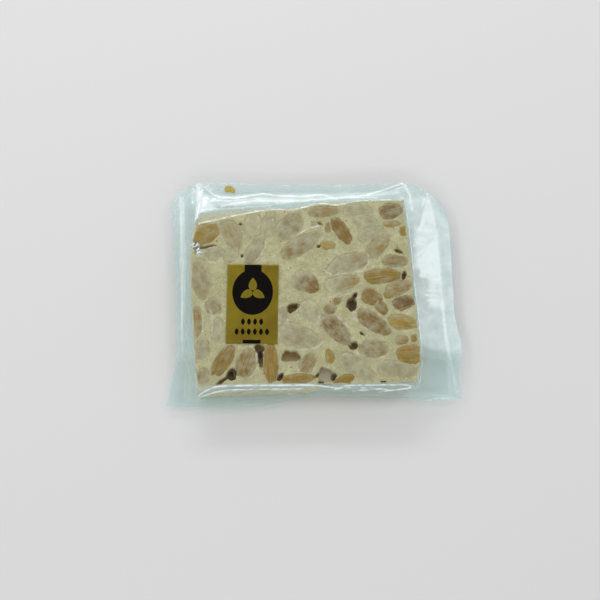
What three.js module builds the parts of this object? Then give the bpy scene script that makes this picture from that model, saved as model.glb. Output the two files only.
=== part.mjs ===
// A slab of hard almond nougat (turron), sealed by vacuum in a clear film pack with a small gold label.
// The pack is one closed solid out to the film: the slab's top face with the almonds and pits under the
// film, the film's slopes down to the seams, the flat fins all round, and the flat underside.
//
// Millimetres, +Z up, +X right and +Y back, as the pack lies with its label up. The outlines are drawn
// from a point near the middle of the slab, and the finished pack is then set with its origin at the
// middle of its footprint, on the surface that it lies on.

import * as THREE from 'three';

// ---------------------------------------------------------------- driving sizes

const THICKNESS = 17; // from the underside to the top face, film included
const FIN_THICKNESS = 0.6; // two webs of film with the air that a seam keeps
const EDGE_ROUND = 1.5; // the worn edge of the top face, in plan
const EDGE_DROP = 0.8; // and how far it falls there
const FOOT_INSET = 1.6; // the flat underside ends this far inside the slab's foot
const SLOPE_POWER = 1.7; // the film leaves the slab steeply and flattens towards the seam
const RIDGE_POWER = 1.1; // but runs nearly straight from corner to corner, as a tent's ridge does

const CELLS_ACROSS = 42; // cells of the top face along X
const CELLS_DEEP = 36; // and along Y
const SLOPE_RINGS = 4; // steps of the film from the slab's shoulder to the seam

const ALMOND_RISE = 0.7; // a dome under the film, at its middle
const PIT_DEPTH = 1.3; // the film sucked down into a pit
const SAG = 0.35; // the slow unevenness of the cut face

const LABEL = { width: 27.2, depth: 44, thickness: 0.4, corner: 0.5, x: -25.2, y: -2.2, turn: -0.6 };
const LABEL_GAP = 0.3; // between the film and the label's back
const LABEL_TOP = THICKNESS + 0.3;
const LABEL_MARGIN = 3.2; // the flat seat reaches this far past the label, and fades over as much again

// ---------------------------------------------------------------- outlines

// Each outline is four sides that share their end points, counter-clockwise from above:
// front, right, back, left. The points are [x, y] or [x, y, z].

// The edge of the slab's top face, cut by hand and nowhere quite straight.
const TOP_EDGE = [
  [[-54, -48.8], [-38, -47.3], [0, -46.7], [42, -46.4], [60.6, -45.2]],
  [[60.6, -45.2], [63.5, -34], [61.9, -8.6], [60.1, 12], [58.2, 36], [55.6, 57.4]],
  [[55.6, 57.4], [32, 56.8], [20, 54.4], [11, 55.2], [-4, 51.6], [-15, 51.8], [-32, 48.8], [-54.5, 43.6]],
  [[-54.5, 43.6], [-58.4, 33], [-58.6, 15], [-56.3, -20], [-55.1, -36], [-54, -48.8]],
];

// Where the film leaves the slab's sides: high on the right and at the back, low down at the front.
const SHOULDER = [
  [[-55, -50.2, 7], [-38, -48.7, 7], [0, -47.8, 7], [42, -47.4, 7], [62, -46.6, 10]],
  [[62, -46.6, 10], [64.1, -34, 13.4], [62.6, -8.6, 14], [60.9, 12, 14], [59.1, 36, 14], [56.6, 58.6, 14]],
  [[56.6, 58.6, 14], [32, 58, 13.6], [11, 56.8, 13.4], [-4, 54.4, 13], [-32, 53.2, 12.6], [-56, 51.4, 12]],
  [[-56, 51.4, 12], [-59.4, 33, 12], [-59.6, 15, 11.4], [-57.3, -20, 10], [-56.2, -36, 9], [-55, -50.2, 7]],
];

// The slab's foot, where the underside meets the sides.
const FOOT = [
  [[-54.5, -50], [-38, -49.2], [0, -48.3], [42, -47.9], [61, -46.5]],
  [[61, -46.5], [63.4, -34], [62, -8.6], [60.2, 12], [58.6, 36], [56.5, 58.4]],
  [[56.5, 58.4], [11, 57], [-15, 55.2], [-56, 51]],
  [[-56, 51], [-59, 15], [-56.8, -20], [-54.5, -50]],
];

// The inner line of the seals, where the two webs of film part.
const SEAM = [
  [
    [-60.5, -51.4, 4], [-38, -51.6, 3], [-8, -49.6, 2.6], [18, -48.9, 2.6], [60, -49.4, 3.4],
    [79.5, -49.6, 4.6],
  ],
  [[79.5, -49.6, 4.6], [78.8, -29, 6], [76.1, 4, 6], [73.8, 43, 6], [71.2, 58, 6], [56.8, 69, 6.6]],
  [[56.8, 69, 6.6], [42, 65.6, 6], [16, 64, 6], [-20, 64, 6], [-42, 63.4, 6], [-53, 69.2, 6.6]],
  [[-53, 69.2, 6.6], [-62.6, 60, 6], [-62.2, 34, 5.4], [-60.8, 0, 5], [-60, -30, 5], [-60.5, -51.4, 4]],
];

// The outer edge of the fins, with two corners cut away at the back and a nick on the right.
const RIM = [
  [
    [-70.7, -54.4, 3.4], [-49.5, -55.4, 3.9], [-25, -55.2, 4.2], [-11.6, -52.9, 3.8], [2, -49.9, 2.8],
    [18, -49.7, 2.6], [43, -50.4, 3.6], [57, -50.3, 4], [66, -51.9, 4.4], [85.4, -50.6, 4.8],
  ],
  [
    [85.4, -50.6, 4.8], [84.2, -37, 6.4], [86.2, -25, 6.2], [83, -5, 5.6], [82.4, 12, 6.2], [81.6, 38, 5.8],
    [80.7, 50, 6.2], [78.2, 56.8, 6], [72, 63.8, 5.9], [65.6, 68.6, 6], [57.2, 71.2, 6.4],
  ],
  [[57.2, 71.2, 6.4], [44, 70.8, 6], [22, 70.5, 5.6], [-16, 70.3, 6.4], [-52.6, 71.2, 6.4]],
  [
    [-52.6, 71.2, 6.4], [-62, 68.3, 6], [-69.4, 61.4, 5.6], [-68.6, 40, 6], [-66.6, 4, 5], [-65.9, -30, 5.4],
    [-70.7, -54.4, 3.4],
  ],
];

// ---------------------------------------------------------------- what shows under the film

// The larger almonds of the top face: middle x, y, length, width, and the turn of the length from +X.
const ALMONDS = [
  [-51, 37.5, 17, 11, 20], [-36.5, 37, 20, 10, -65], [-24, 29, 20, 8, 65], [-53.5, 12, 24, 9, -80],
  [-5.5, 42, 19, 12, 50], [0.5, 31, 26, 10, 32], [13, 50, 17, 6.5, 3], [22.5, 39, 17.5, 7, -58],
  [49, 50, 13, 10, 10], [42, 31, 17, 9, 50], [27, 22, 24, 12, 18], [51, 22, 14, 7, -3],
  [44, 13.5, 20, 8, 5], [3.5, 10, 17, 11, -30], [22, 10, 20, 9, 12], [36, 1, 14, 8, -25],
  [53.5, -2.5, 12, 7, 15], [53, -12, 15, 8, -8], [37, -12, 25, 9, -40], [4, -7, 15, 10, -60],
  [19, -16, 22, 12, -48], [-1, -20, 24, 13, -20], [37.5, -26, 17, 11, 8], [30, -37, 24, 10, -35],
  [51, -37, 22, 10, -12], [-40, -33.5, 20, 9, 60], [-28, -34.5, 17, 11, 75], [-15.5, -34, 22, 8, 88],
];

// The larger open pits, in the same way.
const PITS = [
  [-36, -41, 7, 5, 50], [-4.8, -4, 7, 5, 35], [27, 0, 8, 6, 70], [-5, -31, 10, 6, 0],
  [13.5, -41.5, 12, 7, -20],
];

// ---------------------------------------------------------------- small helpers

const degrees = (angle) => (angle * Math.PI) / 180;
const mix = (a, b, t) => a + (b - a) * t;
const clamp01 = (t) => Math.min(1, Math.max(0, t));
const smooth = (t) => clamp01(t) ** 2 * (3 - 2 * clamp01(t));

// A closed ring of points from the four sides of an outline, evenly spaced along each side.
function ringOf(outline) {
  const cells = [CELLS_ACROSS, CELLS_DEEP, CELLS_ACROSS, CELLS_DEEP];
  return outline.flatMap((side, k) => {
    const knots = side.map(([x, y, z = 0]) => new THREE.Vector3(x, y, z));
    const curve = new THREE.CatmullRomCurve3(knots, false, 'centripetal');
    return curve.getSpacedPoints(cells[k]).slice(0, -1);
  });
}

// A ring drawn in by a distance, square to its own run.
function drawnIn(ring, distance) {
  return ring.map((point, k) => {
    const before = ring[(k + ring.length - 1) % ring.length];
    const after = ring[(k + 1) % ring.length];
    const run = new THREE.Vector3().subVectors(after, before).setZ(0).normalize();
    return new THREE.Vector3(point.x - run.y * distance, point.y + run.x * distance, point.z);
  });
}

// A ring laid at one height, and a ring moved up by a distance.
const atHeight = (ring, z) => ring.map((point) => new THREE.Vector3(point.x, point.y, z));
const raised = (ring, dz) => ring.map((point) => new THREE.Vector3(point.x, point.y, point.z + dz));

// Where a point lies in an oval: 0 at its middle, 1 on its edge.
function inOval(x, y, [midX, midY, length, width, turn]) {
  const cos = Math.cos(degrees(turn));
  const sin = Math.sin(degrees(turn));
  const along = ((x - midX) * cos + (y - midY) * sin) / (length / 2);
  const across = ((y - midY) * cos - (x - midX) * sin) / (width / 2);
  return Math.hypot(along, across);
}

// ---------------------------------------------------------------- the top face

// Height of the film over the top face: a slow sag, domes over the almonds, dips over the pits, and a
// flat seat for the label.
function topHeight(x, y) {
  let height = SAG * (Math.sin(x / 17 + 0.6) * Math.cos(y / 21) - 0.4 * Math.sin(y / 11 + x / 29));
  for (const almond of ALMONDS) {
    height += ALMOND_RISE * Math.max(0, 1 - inOval(x, y, almond) ** 2);
  }
  for (const pit of PITS) {
    height -= PIT_DEPTH * Math.exp(-(inOval(x, y, pit) ** 2));
  }
  const besideX = Math.abs(x - LABEL.x) - LABEL.width / 2;
  const besideY = Math.abs(y - LABEL.y) - LABEL.depth / 2;
  const offSeat = smooth((Math.max(besideX, besideY) - LABEL_MARGIN) / LABEL_MARGIN);
  const seat = LABEL_TOP - LABEL.thickness - LABEL_GAP - THICKNESS;
  return THICKNESS + mix(seat, height, offSeat);
}

// The grid of the top face, fitted between the four sides of its edge: each point is the sum of its
// places on the two rulings, less its place on the four corners. Returns the points row by row.
function topGrid(ring) {
  const front = (i) => ring[i];
  const right = (j) => ring[CELLS_ACROSS + j];
  const back = (i) => ring[2 * CELLS_ACROSS + CELLS_DEEP - i];
  const left = (j) => ring[(2 * (CELLS_ACROSS + CELLS_DEEP) - j) % ring.length];
  const points = [];
  for (let j = 0; j <= CELLS_DEEP; j += 1) {
    for (let i = 0; i <= CELLS_ACROSS; i += 1) {
      const u = i / CELLS_ACROSS;
      const v = j / CELLS_DEEP;
      const fitted = (axis) => {
        const ruled = mix(front(i)[axis], back(i)[axis], v) + mix(left(j)[axis], right(j)[axis], u);
        const frontRow = mix(front(0)[axis], front(CELLS_ACROSS)[axis], u);
        const backRow = mix(back(0)[axis], back(CELLS_ACROSS)[axis], u);
        return ruled - mix(frontRow, backRow, v);
      };
      const x = fitted('x');
      const y = fitted('y');
      points.push(new THREE.Vector3(x, y, topHeight(x, y)));
    }
  }
  return points;
}

// The grid's own indices round its edge, in the order of a ring.
function gridEdge() {
  const at = (i, j) => j * (CELLS_ACROSS + 1) + i;
  const edge = [];
  for (let i = 0; i < CELLS_ACROSS; i += 1) edge.push(at(i, 0));
  for (let j = 0; j < CELLS_DEEP; j += 1) edge.push(at(CELLS_ACROSS, j));
  for (let i = CELLS_ACROSS; i > 0; i -= 1) edge.push(at(i, CELLS_DEEP));
  for (let j = CELLS_DEEP; j > 0; j -= 1) edge.push(at(0, j));
  return edge;
}

// ---------------------------------------------------------------- the pack

// How near a ring's point lies to a corner of the pack: 0 along the sides, 1 at the corner.
function nearCorner(n) {
  const turn = n % (CELLS_ACROSS + CELLS_DEEP);
  const along = turn < CELLS_ACROSS ? turn / CELLS_ACROSS : (turn - CELLS_ACROSS) / CELLS_DEEP;
  return Math.abs(2 * along - 1) ** 8;
}

// The rings of the film below the top face, from its edge over the slab's shoulder, down the slope, over
// the fin, back under it and down to the foot.
function filmRings() {
  const edge = atHeight(ringOf(TOP_EDGE), THICKNESS - EDGE_DROP);
  const shoulder = ringOf(SHOULDER);
  const seam = ringOf(SEAM);
  const rim = ringOf(RIM);
  const foot = drawnIn(atHeight(ringOf(FOOT), 0), FOOT_INSET);
  const half = FIN_THICKNESS / 2;

  const rings = [edge, shoulder];
  for (let k = 1; k < SLOPE_RINGS; k += 1) {
    const s = k / SLOPE_RINGS;
    rings.push(shoulder.map((point, n) => {
      const power = mix(SLOPE_POWER, RIDGE_POWER, nearCorner(n));
      return point.clone().lerp(seam[n], s).setZ(mix(seam[n].z + half, point.z, (1 - s) ** power));
    }));
  }
  const middle = rim.map((point, n) => point.clone().lerp(seam[n], 0.5));
  rings.push(raised(seam, half), raised(middle, half), raised(rim, half));
  rings.push(raised(rim, -half), raised(middle, -half), raised(seam, -half));
  rings.push(foot.map((point, n) => point.clone().lerp(seam[n], 0.5).setZ(seam[n].z * 0.3)));
  rings.push(foot);
  return rings;
}

// One closed body from the top grid, the rings that follow it and the flat underside.
function packGeometry() {
  const inner = drawnIn(ringOf(TOP_EDGE), EDGE_ROUND);
  const points = topGrid(inner);
  const faces = [];
  const row = CELLS_ACROSS + 1;
  for (let j = 0; j < CELLS_DEEP; j += 1) {
    for (let i = 0; i < CELLS_ACROSS; i += 1) {
      const corner = j * row + i;
      faces.push([corner, corner + 1, corner + row + 1], [corner, corner + row + 1, corner + row]);
    }
  }

  let last = gridEdge();
  for (const ring of filmRings()) {
    const next = ring.map((point, k) => points.length + k);
    points.push(...ring);
    for (let k = 0; k < next.length; k += 1) {
      const k1 = (k + 1) % next.length;
      faces.push([last[k], next[k], next[k1]], [last[k], next[k1], last[k1]]);
    }
    last = next;
  }

  const outline = last.map((n) => new THREE.Vector2(points[n].x, points[n].y));
  for (const [a, b, c] of THREE.ShapeUtils.triangulateShape(outline, [])) {
    faces.push([last[a], last[c], last[b]]);
  }

  const geometry = new THREE.BufferGeometry().setFromPoints(points);
  geometry.setIndex(faces.flat());
  geometry.computeVertexNormals();
  return geometry;
}

function makePack() {
  const film = new THREE.MeshStandardMaterial({ color: 0xb9b593, roughness: 0.35, metalness: 0 });
  const mesh = new THREE.Mesh(packGeometry(), film);
  mesh.name = 'pack';
  return mesh;
}

// ---------------------------------------------------------------- the label

// A thin upright rectangle of gold paper with just-rounded corners.
function labelGeometry() {
  const { width, depth, thickness, corner } = LABEL;
  const shape = new THREE.Shape();
  const x = width / 2 - corner;
  const y = depth / 2 - corner;
  shape.absarc(x, y, corner, 0, Math.PI / 2);
  shape.absarc(-x, y, corner, Math.PI / 2, Math.PI);
  shape.absarc(-x, -y, corner, Math.PI, Math.PI * 1.5);
  shape.absarc(x, -y, corner, Math.PI * 1.5, Math.PI * 2);
  return new THREE.ExtrudeGeometry(shape, { depth: thickness, bevelEnabled: false, curveSegments: 3 });
}

function makeLabel() {
  const gold = new THREE.MeshStandardMaterial({ color: 0x7d6c1e, roughness: 0.45, metalness: 0.6 });
  const mesh = new THREE.Mesh(labelGeometry(), gold);
  mesh.name = 'label';
  mesh.position.set(LABEL.x, LABEL.y, LABEL_TOP - LABEL.thickness);
  mesh.rotation.z = degrees(LABEL.turn);
  return mesh;
}

// ---------------------------------------------------------------- the whole

// Sets a group with its origin at the middle of its footprint, on its lowest level.
function stoodOnOrigin(group) {
  const box = new THREE.Box3().setFromObject(group);
  const middle = box.getCenter(new THREE.Vector3());
  group.position.set(-middle.x, -middle.y, -box.min.z);
  return group;
}

const turron = stoodOnOrigin(new THREE.Group().add(makePack(), makeLabel()));

export default turron;
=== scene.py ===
"""A hand-cut slab of almond nougat (turron) in a clear vacuum pack, with a small gold label.

Everything is drawn in millimetres from a point near the middle of the slab, as seen from above with the
label upright: +X right, +Y back, +Z up. to_metres() sets it in the frame.
"""

import math

import bpy
import numpy as np
from bpy.props import FloatProperty, FloatVectorProperty, IntProperty, PointerProperty
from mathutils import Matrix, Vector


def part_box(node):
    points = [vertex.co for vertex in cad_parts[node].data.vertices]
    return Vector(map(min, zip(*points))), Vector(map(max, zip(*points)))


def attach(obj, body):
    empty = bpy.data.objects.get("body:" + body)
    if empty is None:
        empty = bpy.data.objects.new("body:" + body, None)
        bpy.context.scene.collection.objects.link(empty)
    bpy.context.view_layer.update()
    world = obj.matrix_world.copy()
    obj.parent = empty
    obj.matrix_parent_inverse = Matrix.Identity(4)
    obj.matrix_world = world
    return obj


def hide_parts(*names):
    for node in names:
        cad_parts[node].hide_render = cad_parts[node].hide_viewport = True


bl_info = {
    "name": "Vacuum-packed turron",
    "version": (1, 0, 0),
    "blender": (4, 5, 0),
    "location": "View3D > Sidebar > Turron",
    "description": "Builds a slab of almond nougat in a clear vacuum pack with a gold label",
    "category": "Add Mesh",
}

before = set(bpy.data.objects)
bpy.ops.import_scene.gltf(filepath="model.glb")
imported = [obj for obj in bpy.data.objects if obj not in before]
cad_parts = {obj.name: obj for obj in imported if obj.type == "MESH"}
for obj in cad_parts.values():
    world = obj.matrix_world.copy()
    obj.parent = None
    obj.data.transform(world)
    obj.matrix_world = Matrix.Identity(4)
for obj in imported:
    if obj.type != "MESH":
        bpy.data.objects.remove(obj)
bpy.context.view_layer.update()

MM = 0.001
IMAGE = 600  # the picture's width and height, pixels

# ---------------- the slab and its pack, in mm

THICKNESS = 17.0  # from the underside to the film over the top face
EDGE_ROUND = 1.5  # the worn edge of the top face, in plan
EDGE_DROP = 0.8  # and how far it falls there
FOOT_INSET = 1.6  # the flat underside ends this far inside the slab's foot
FOOT_HEIGHT = 2.5  # where the slab's sides start to round under
SLOPE_POWER = 1.7  # the film leaves the slab steeply and flattens towards the seam
RIDGE_POWER = 1.1  # but runs nearly straight from corner to corner
SAG = 0.35  # the slow unevenness of the cut face
SOLE = 0.25  # the level of the nougat's underside
SLACK = (0.2, 0.4)  # how far the nougat lies below the film at its top edge and at its shoulder
UNDER_MIDDLE = (2.0, 3.0)  # where the rings of the underside close
UNDER_POWER = 1.74  # the lower web of film rises steeper and steeper from the sole to the seam
SIDE_CELLS = 0.86  # cells from front to back, for each from left to right

# Outlines: four sides, counter-clockwise: front, right, back, left. Each ends where the next one starts.
TOP_EDGE = [
    [(-54, -48.8), (-38, -47.3), (0, -46.7), (42, -46.4)],
    [(60.6, -45.2), (63.5, -34), (61.9, -8.6), (60.1, 12), (58.2, 36)],
    [(55.6, 57.4), (32, 56.8), (20, 54.4), (11, 55.2), (-4, 51.6), (-15, 51.8), (-32, 48.8)],
    [(-54.5, 43.6), (-58.4, 33), (-58.6, 15), (-56.3, -20), (-55.1, -36)],
]
SHOULDER = [
    [(-55, -50.2, 7), (-38, -48.7, 7), (0, -47.8, 7), (42, -47.4, 7)],
    [(62, -46.6, 10), (64.1, -34, 13.4), (62.6, -8.6, 14), (60.9, 12, 14), (59.1, 36, 14)],
    [(56.6, 58.6, 14), (32, 58, 13.6), (11, 56.8, 13.4), (-4, 54.4, 13), (-32, 53.2, 12.6)],
    [(-56, 51.4, 12), (-59.4, 33, 12), (-59.6, 15, 11.4), (-57.3, -20, 10), (-56.2, -36, 9)],
]
FOOT = [
    [(-54.5, -50), (-38, -49.2), (0, -48.3), (42, -47.9)],
    [(61, -46.5), (63.4, -34), (62, -8.6), (60.2, 12), (58.6, 36)],
    [(56.5, 58.4), (11, 57), (-15, 55.2)],
    [(-56, 51), (-59, 15), (-56.8, -20)],
]
SEAM = [
    [(-60.5, -51.4, 4), (-38, -51.6, 3), (-8, -49.6, 2.6), (18, -48.9, 2.6), (60, -49.4, 3.4)],
    [(79.5, -49.6, 4.6), (78.8, -29, 6), (76.1, 4, 6), (73.8, 43, 6), (71.2, 58, 6)],
    [(56.8, 69, 6.6), (42, 65.6, 6), (16, 64, 6), (-20, 64, 6), (-42, 63.4, 6)],
    [(-53, 69.2, 6.6), (-62.6, 60, 6), (-62.2, 34, 5.4), (-60.8, 0, 5), (-60, -30, 5)],
]
RIM = [
    [
        (-70.7, -54.4, 3.4), (-49.5, -55.4, 3.9), (-25, -55.2, 4.2), (-11.6, -52.9, 3.8), (2, -49.9, 2.8),
        (18, -49.7, 2.6), (43, -50.4, 3.6), (57, -50.3, 4), (66, -51.9, 4.4),
    ],
    [
        (85.4, -50.6, 4.8), (84.2, -37, 6.4), (86.2, -25, 6.2), (83, -5, 5.6), (82.4, 12, 6.2),
        (81.6, 38, 5.8), (80.7, 50, 6.2), (78.2, 56.8, 6), (72, 63.8, 5.9), (65.6, 68.6, 6),
    ],
    [(57.2, 71.2, 6.4), (44, 70.8, 6), (22, 70.5, 5.6), (-16, 70.3, 6.4)],
    [
        (-52.6, 71.2, 6.4), (-62, 68.3, 6), (-69.4, 61.4, 5.6), (-68.6, 40, 6), (-66.6, 4, 5),
        (-65.9, -30, 5.4),
    ],
]

# The almonds that show on the top face: middle x, y, length, width, turn of the length from +X in
# degrees, how brown the skin is (0 honey, 1 red-brown), how much nougat veils it (0 bare, 1 buried), and
# how much more of that veil lies towards the pointed end.
ALMONDS = [
    (-51, 37.5, 17, 11, 20, 0.3, 0.15, 0), (-36.5, 37, 20, 10, -65, 0.2, 0.6, 0.1),
    (-25.5, 43.5, 15, 10, 75, 0.4, 1.0, 0), (-46, 26.5, 12, 9, 10, 0.6, 0.8, 0),
    (-37, 25, 9, 8, 0, 0.6, 0.85, 0), (-24, 29, 20, 8, 65, 0.7, 0.7, 0.2),
    (-53.2, 11.5, 24, 10.5, -80, 0.5, 0.6, -0.2), (-17, 43, 17, 8, 80, 0.7, 0.85, 0.1),
    (-5.5, 42, 19, 12, 50, 0.7, 0.6, -0.1), (0.5, 31, 26, 10, 32, 0.6, 0.5, 0.3),
    (13, 50.3, 17, 6.5, 3, 0.5, 0.4, 0), (22.5, 39, 17.5, 7.2, -58, 0.75, 0.08, 0),
    (15, 31, 8, 5, -5, 0.0, 0.2, 0), (8, 43, 4, 2.5, 0, 0.6, 0.5, 0), (15, 41, 6, 3, 80, 0.6, 0.3, 0),
    (31, 51, 17, 7, 0, 0.4, 0.78, 0), (49, 50.5, 13, 9, 10, 0.9, 0.27, 0),
    (49.5, 43, 10, 3.5, 5, 0.3, 0.3, 0), (55.6, 39, 5.5, 4, 90, 0.4, 0.05, 0),
    (35, 44.5, 14, 8, -10, 0.4, 0.84, 0), (38, 37.5, 16, 8, 20, 0.5, 0.8, 0),
    (42, 30.5, 17, 9, 50, 0.3, 0.45, 0), (27, 21, 24, 11, 18, 0.5, 0.66, -0.25),
    (51, 22, 14, 7, -3, 0.7, 0.34, 0), (44, 13.5, 20, 8.5, 5, 0.5, 0.08, 0),
    (18.2, 17.2, 8.5, 6, 15, 0.8, 0.75, 0), (3.5, 9.6, 16, 11, -30, 0.8, 0.36, -0.5),
    (22.5, 9.4, 20, 9.5, 14, 0.35, 0.66, -0.7), (52.5, 6.8, 15, 8, 22, 0.5, 0.42, 0),
    (47.2, 3, 5.5, 4, 10, 0.45, 0.1, 0), (38.2, 1.7, 11.5, 8.5, -25, 0.7, 0.12, 0),
    (43.2, -4.2, 9, 5.5, -55, 0.7, 0.14, 0), (55.2, -1.2, 12.5, 7.6, 18, 1.0, 0.15, 0),
    (54.6, -12.2, 16, 8, -8, 0.15, 0.2, 0), (39, -12.6, 22, 9, -36, 0.8, 0.28, 0),
    (16, -5, 7.4, 6, 35, 0.7, 0.42, 0), (19.6, -0.4, 6, 4, 50, 0.6, 0.32, 0),
    (5.4, -6, 14.5, 10.5, -45, 0.6, 0.95, 0), (-9.5, -8, 9, 6, 80, 0.7, 0.7, 0),
    (-1, -20, 25, 13, -20, 0.5, 0.7, 0), (19.4, -16.7, 21, 10, -48, 0.9, 0.42, 0),
    (4.2, -34.5, 12, 8, 60, 0.6, 0.4, 0), (15.5, -30.9, 8, 4.4, 102, 0.2, 0.12, 0),
    (-1, -43.2, 17, 5.5, 5, 0.45, 0.05, 0), (23.2, -44, 12, 5.4, 28, 0.45, 0.0, 0),
    (38.5, -27, 17, 10.5, 5, 0.6, 0.5, 0), (53.6, -22, 7, 5.5, 0, 0.5, 0.4, 0),
    (60, -21, 4.5, 3, 80, 0.4, 0.2, 0), (57, -29.8, 13, 10.5, 178, 0.38, 0.05, 0),
    (30, -37, 24, 10, -35, 0.5, 0.75, 0), (51.5, -38, 23, 9, -10, 0.5, 0.7, 0),
    (-54.3, -12, 18, 5, -87, 0.5, 0.35, 0), (-46, -3.5, 10, 8, -45, 0.7, 0.5, 0),
    (-51.5, -27, 12, 8, 80, 0.6, 0.7, 0), (-40, -33, 19, 8.5, 60, 0.6, 0.12, 0),
    (-28, -34.5, 17, 11, 75, 0.65, 0.32, 0), (-15.3, -34, 22, 7.8, 92, 0.45, 0.05, 0),
    (-50.6, -41.5, 9, 7, 70, 0.7, 0.5, 0), (-43.4, -16, 14, 7, 84, 0.6, 0.85, 0),
]

# The open pits, in the same way, with their depth and last how much painted shade darkens them.
PITS = [
    (-35.6, -40.4, 6.4, 5.2, 62, 5, 1.0), (-40.3, -43.9, 8, 1.8, 36, 3, 0.7),
    (-21.2, -26.6, 5.6, 4.6, 0, 4, 0.7), (-20.6, -32, 11, 2.8, -84, 4, 0.9),
    (-3.9, -4, 6.4, 4.4, 25, 4, 0.85), (27.6, -2, 6.8, 5.6, 85, 5, 0.8), (28.9, 2.2, 4, 2.4, 62, 3, 0.85),
    (28, -25, 5, 4.2, 20, 3.5, 0.75), (-4.6, -31, 10.4, 6, 0, 2.4, 0.6), (-10.4, -42, 5, 2.6, 55, 3.5, 0.8),
    (13.2, -41.2, 8.6, 7.8, 100, 1.8, 0.42), (17.7, -41.6, 3.6, 3.4, 40, 4, 0.85),
    (9, -41.2, 3.4, 1.8, 65, 3, 0.6), (11, -45.4, 4, 2, 5, 3, 0.9), (55.4, 14, 4.6, 2.4, 75, 3, 0.7),
    (53, 27.4, 5.6, 2, -25, 2, 0.6), (-49.4, 30.2, 9, 1.8, 10, 2.5, 0.55),
    (10.5, 43.3, 3.4, 1.8, -8, 1.6, 0.45), (10, 30.5, 1.8, 1.6, 0, 2, 0.7), (-32, 43, 2, 1.8, 0, 1.6, 0.5),
    (-31, 25, 1.8, 1.6, 0, 2, 0.7), (43.6, -44.8, 4, 1.6, 0, 2, 0.6), (32.8, -18.6, 4, 1.4, -38, 2, 0.5),
    # The last lies under the crumpled film and paints the dark parts of its silvery reflection.
    (-55.4, 28.8, 8.5, 4.6, -62, 1.2, 0.45),
]

# Fine creases of the film on the top face, each lifted and painted with a cream highlight along it: how
# white, then the points of the line, in mm.
TOP_LINES = [
    (0.6, [(-1, 37), (4, 40.3), (10, 42)]),
    (0.4, [(13.4, 15.9), (17.5, 13.8), (25.1, 15.3), (32.7, 16.1), (36.8, 20.5), (36.4, 25.1)]),
    (0.3, [(10.4, 2.6), (12.6, 1), (18.5, 1.5), (23.4, 2.6), (29.4, 5.2)]),
    (0.3, [(18.4, -8.1), (23.8, -13.2), (26.8, -17.6), (27.1, -22.1)]),
    (0.35, [(-5.2, -26.8), (0.1, -27.7), (4.4, -27.1), (8.7, -26.3), (12.4, -23.2)]),
    (0.3, [(8.2, -11.4), (9.3, -13.7), (10.3, -9.2)]),
    (0.3, [(28.2, -6.4), (29.2, -10.9), (33.5, -15.2), (37.7, -18)]),
    (0.25, [(29.5, -28.8), (35.4, -32.3), (40.7, -32.3), (46.1, -29.9)]),
    (0.3, [(41.2, -0.7), (40.1, -4.1)]),
    (0.3, [(-51, 25.3), (-48.8, 21.4), (-45.3, 21), (-42.6, 23.7)]),
    (0.3, [(-24.4, 21.3), (-20.4, 26.1)]),
    (0.3, [(-52.9, -2.4), (-51.2, -9.9), (-51.1, -19)]),
    (0.25, [(-50.1, -11.5), (-48, -19)]),
    (0.3, [(-48, -2.4), (-46.3, -9.5), (-46.5, -19)]),
    (0.3, [(-52.5, -21.5), (-48, -22.1)]),
    (0.3, [(-22.8, -29.9), (-22.7, -37.7), (-25.6, -42.3)]),
    (0.3, [(-10.5, -17.8), (-5.2, -10.3), (-2.6, -9.1)]),
    (0.25, [(-49.6, -39.2), (-46.1, -44.3)]),
    (0.5, [(-51.9, 3.6), (-51.5, 2.8)]),
    (0.5, [(-14.8, 45.4), (-14.6, 44.8)]),
]
TOP_LINE_WIDTH = 0.5  # their half width, mm
TOP_LINE_HIGHLIGHT = 1.5  # and how bright their painted highlight is, times each line's own number
CRINKLE = (-55.3, 28.8, 9, 4.6, -62)  # where the film is crumpled at the slab's left edge, with a painted silvery highlight, as an oval
# Painted pale light over two pits, where the film bridges them, as milky ovals: how white, then the oval.
PIT_PAINTED_LIGHT = [(0.09, 13.4, -40.9, 8.8, 8.0, 100), (0.04, -3.6, -35.6, 8, 6, 0)]
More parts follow.
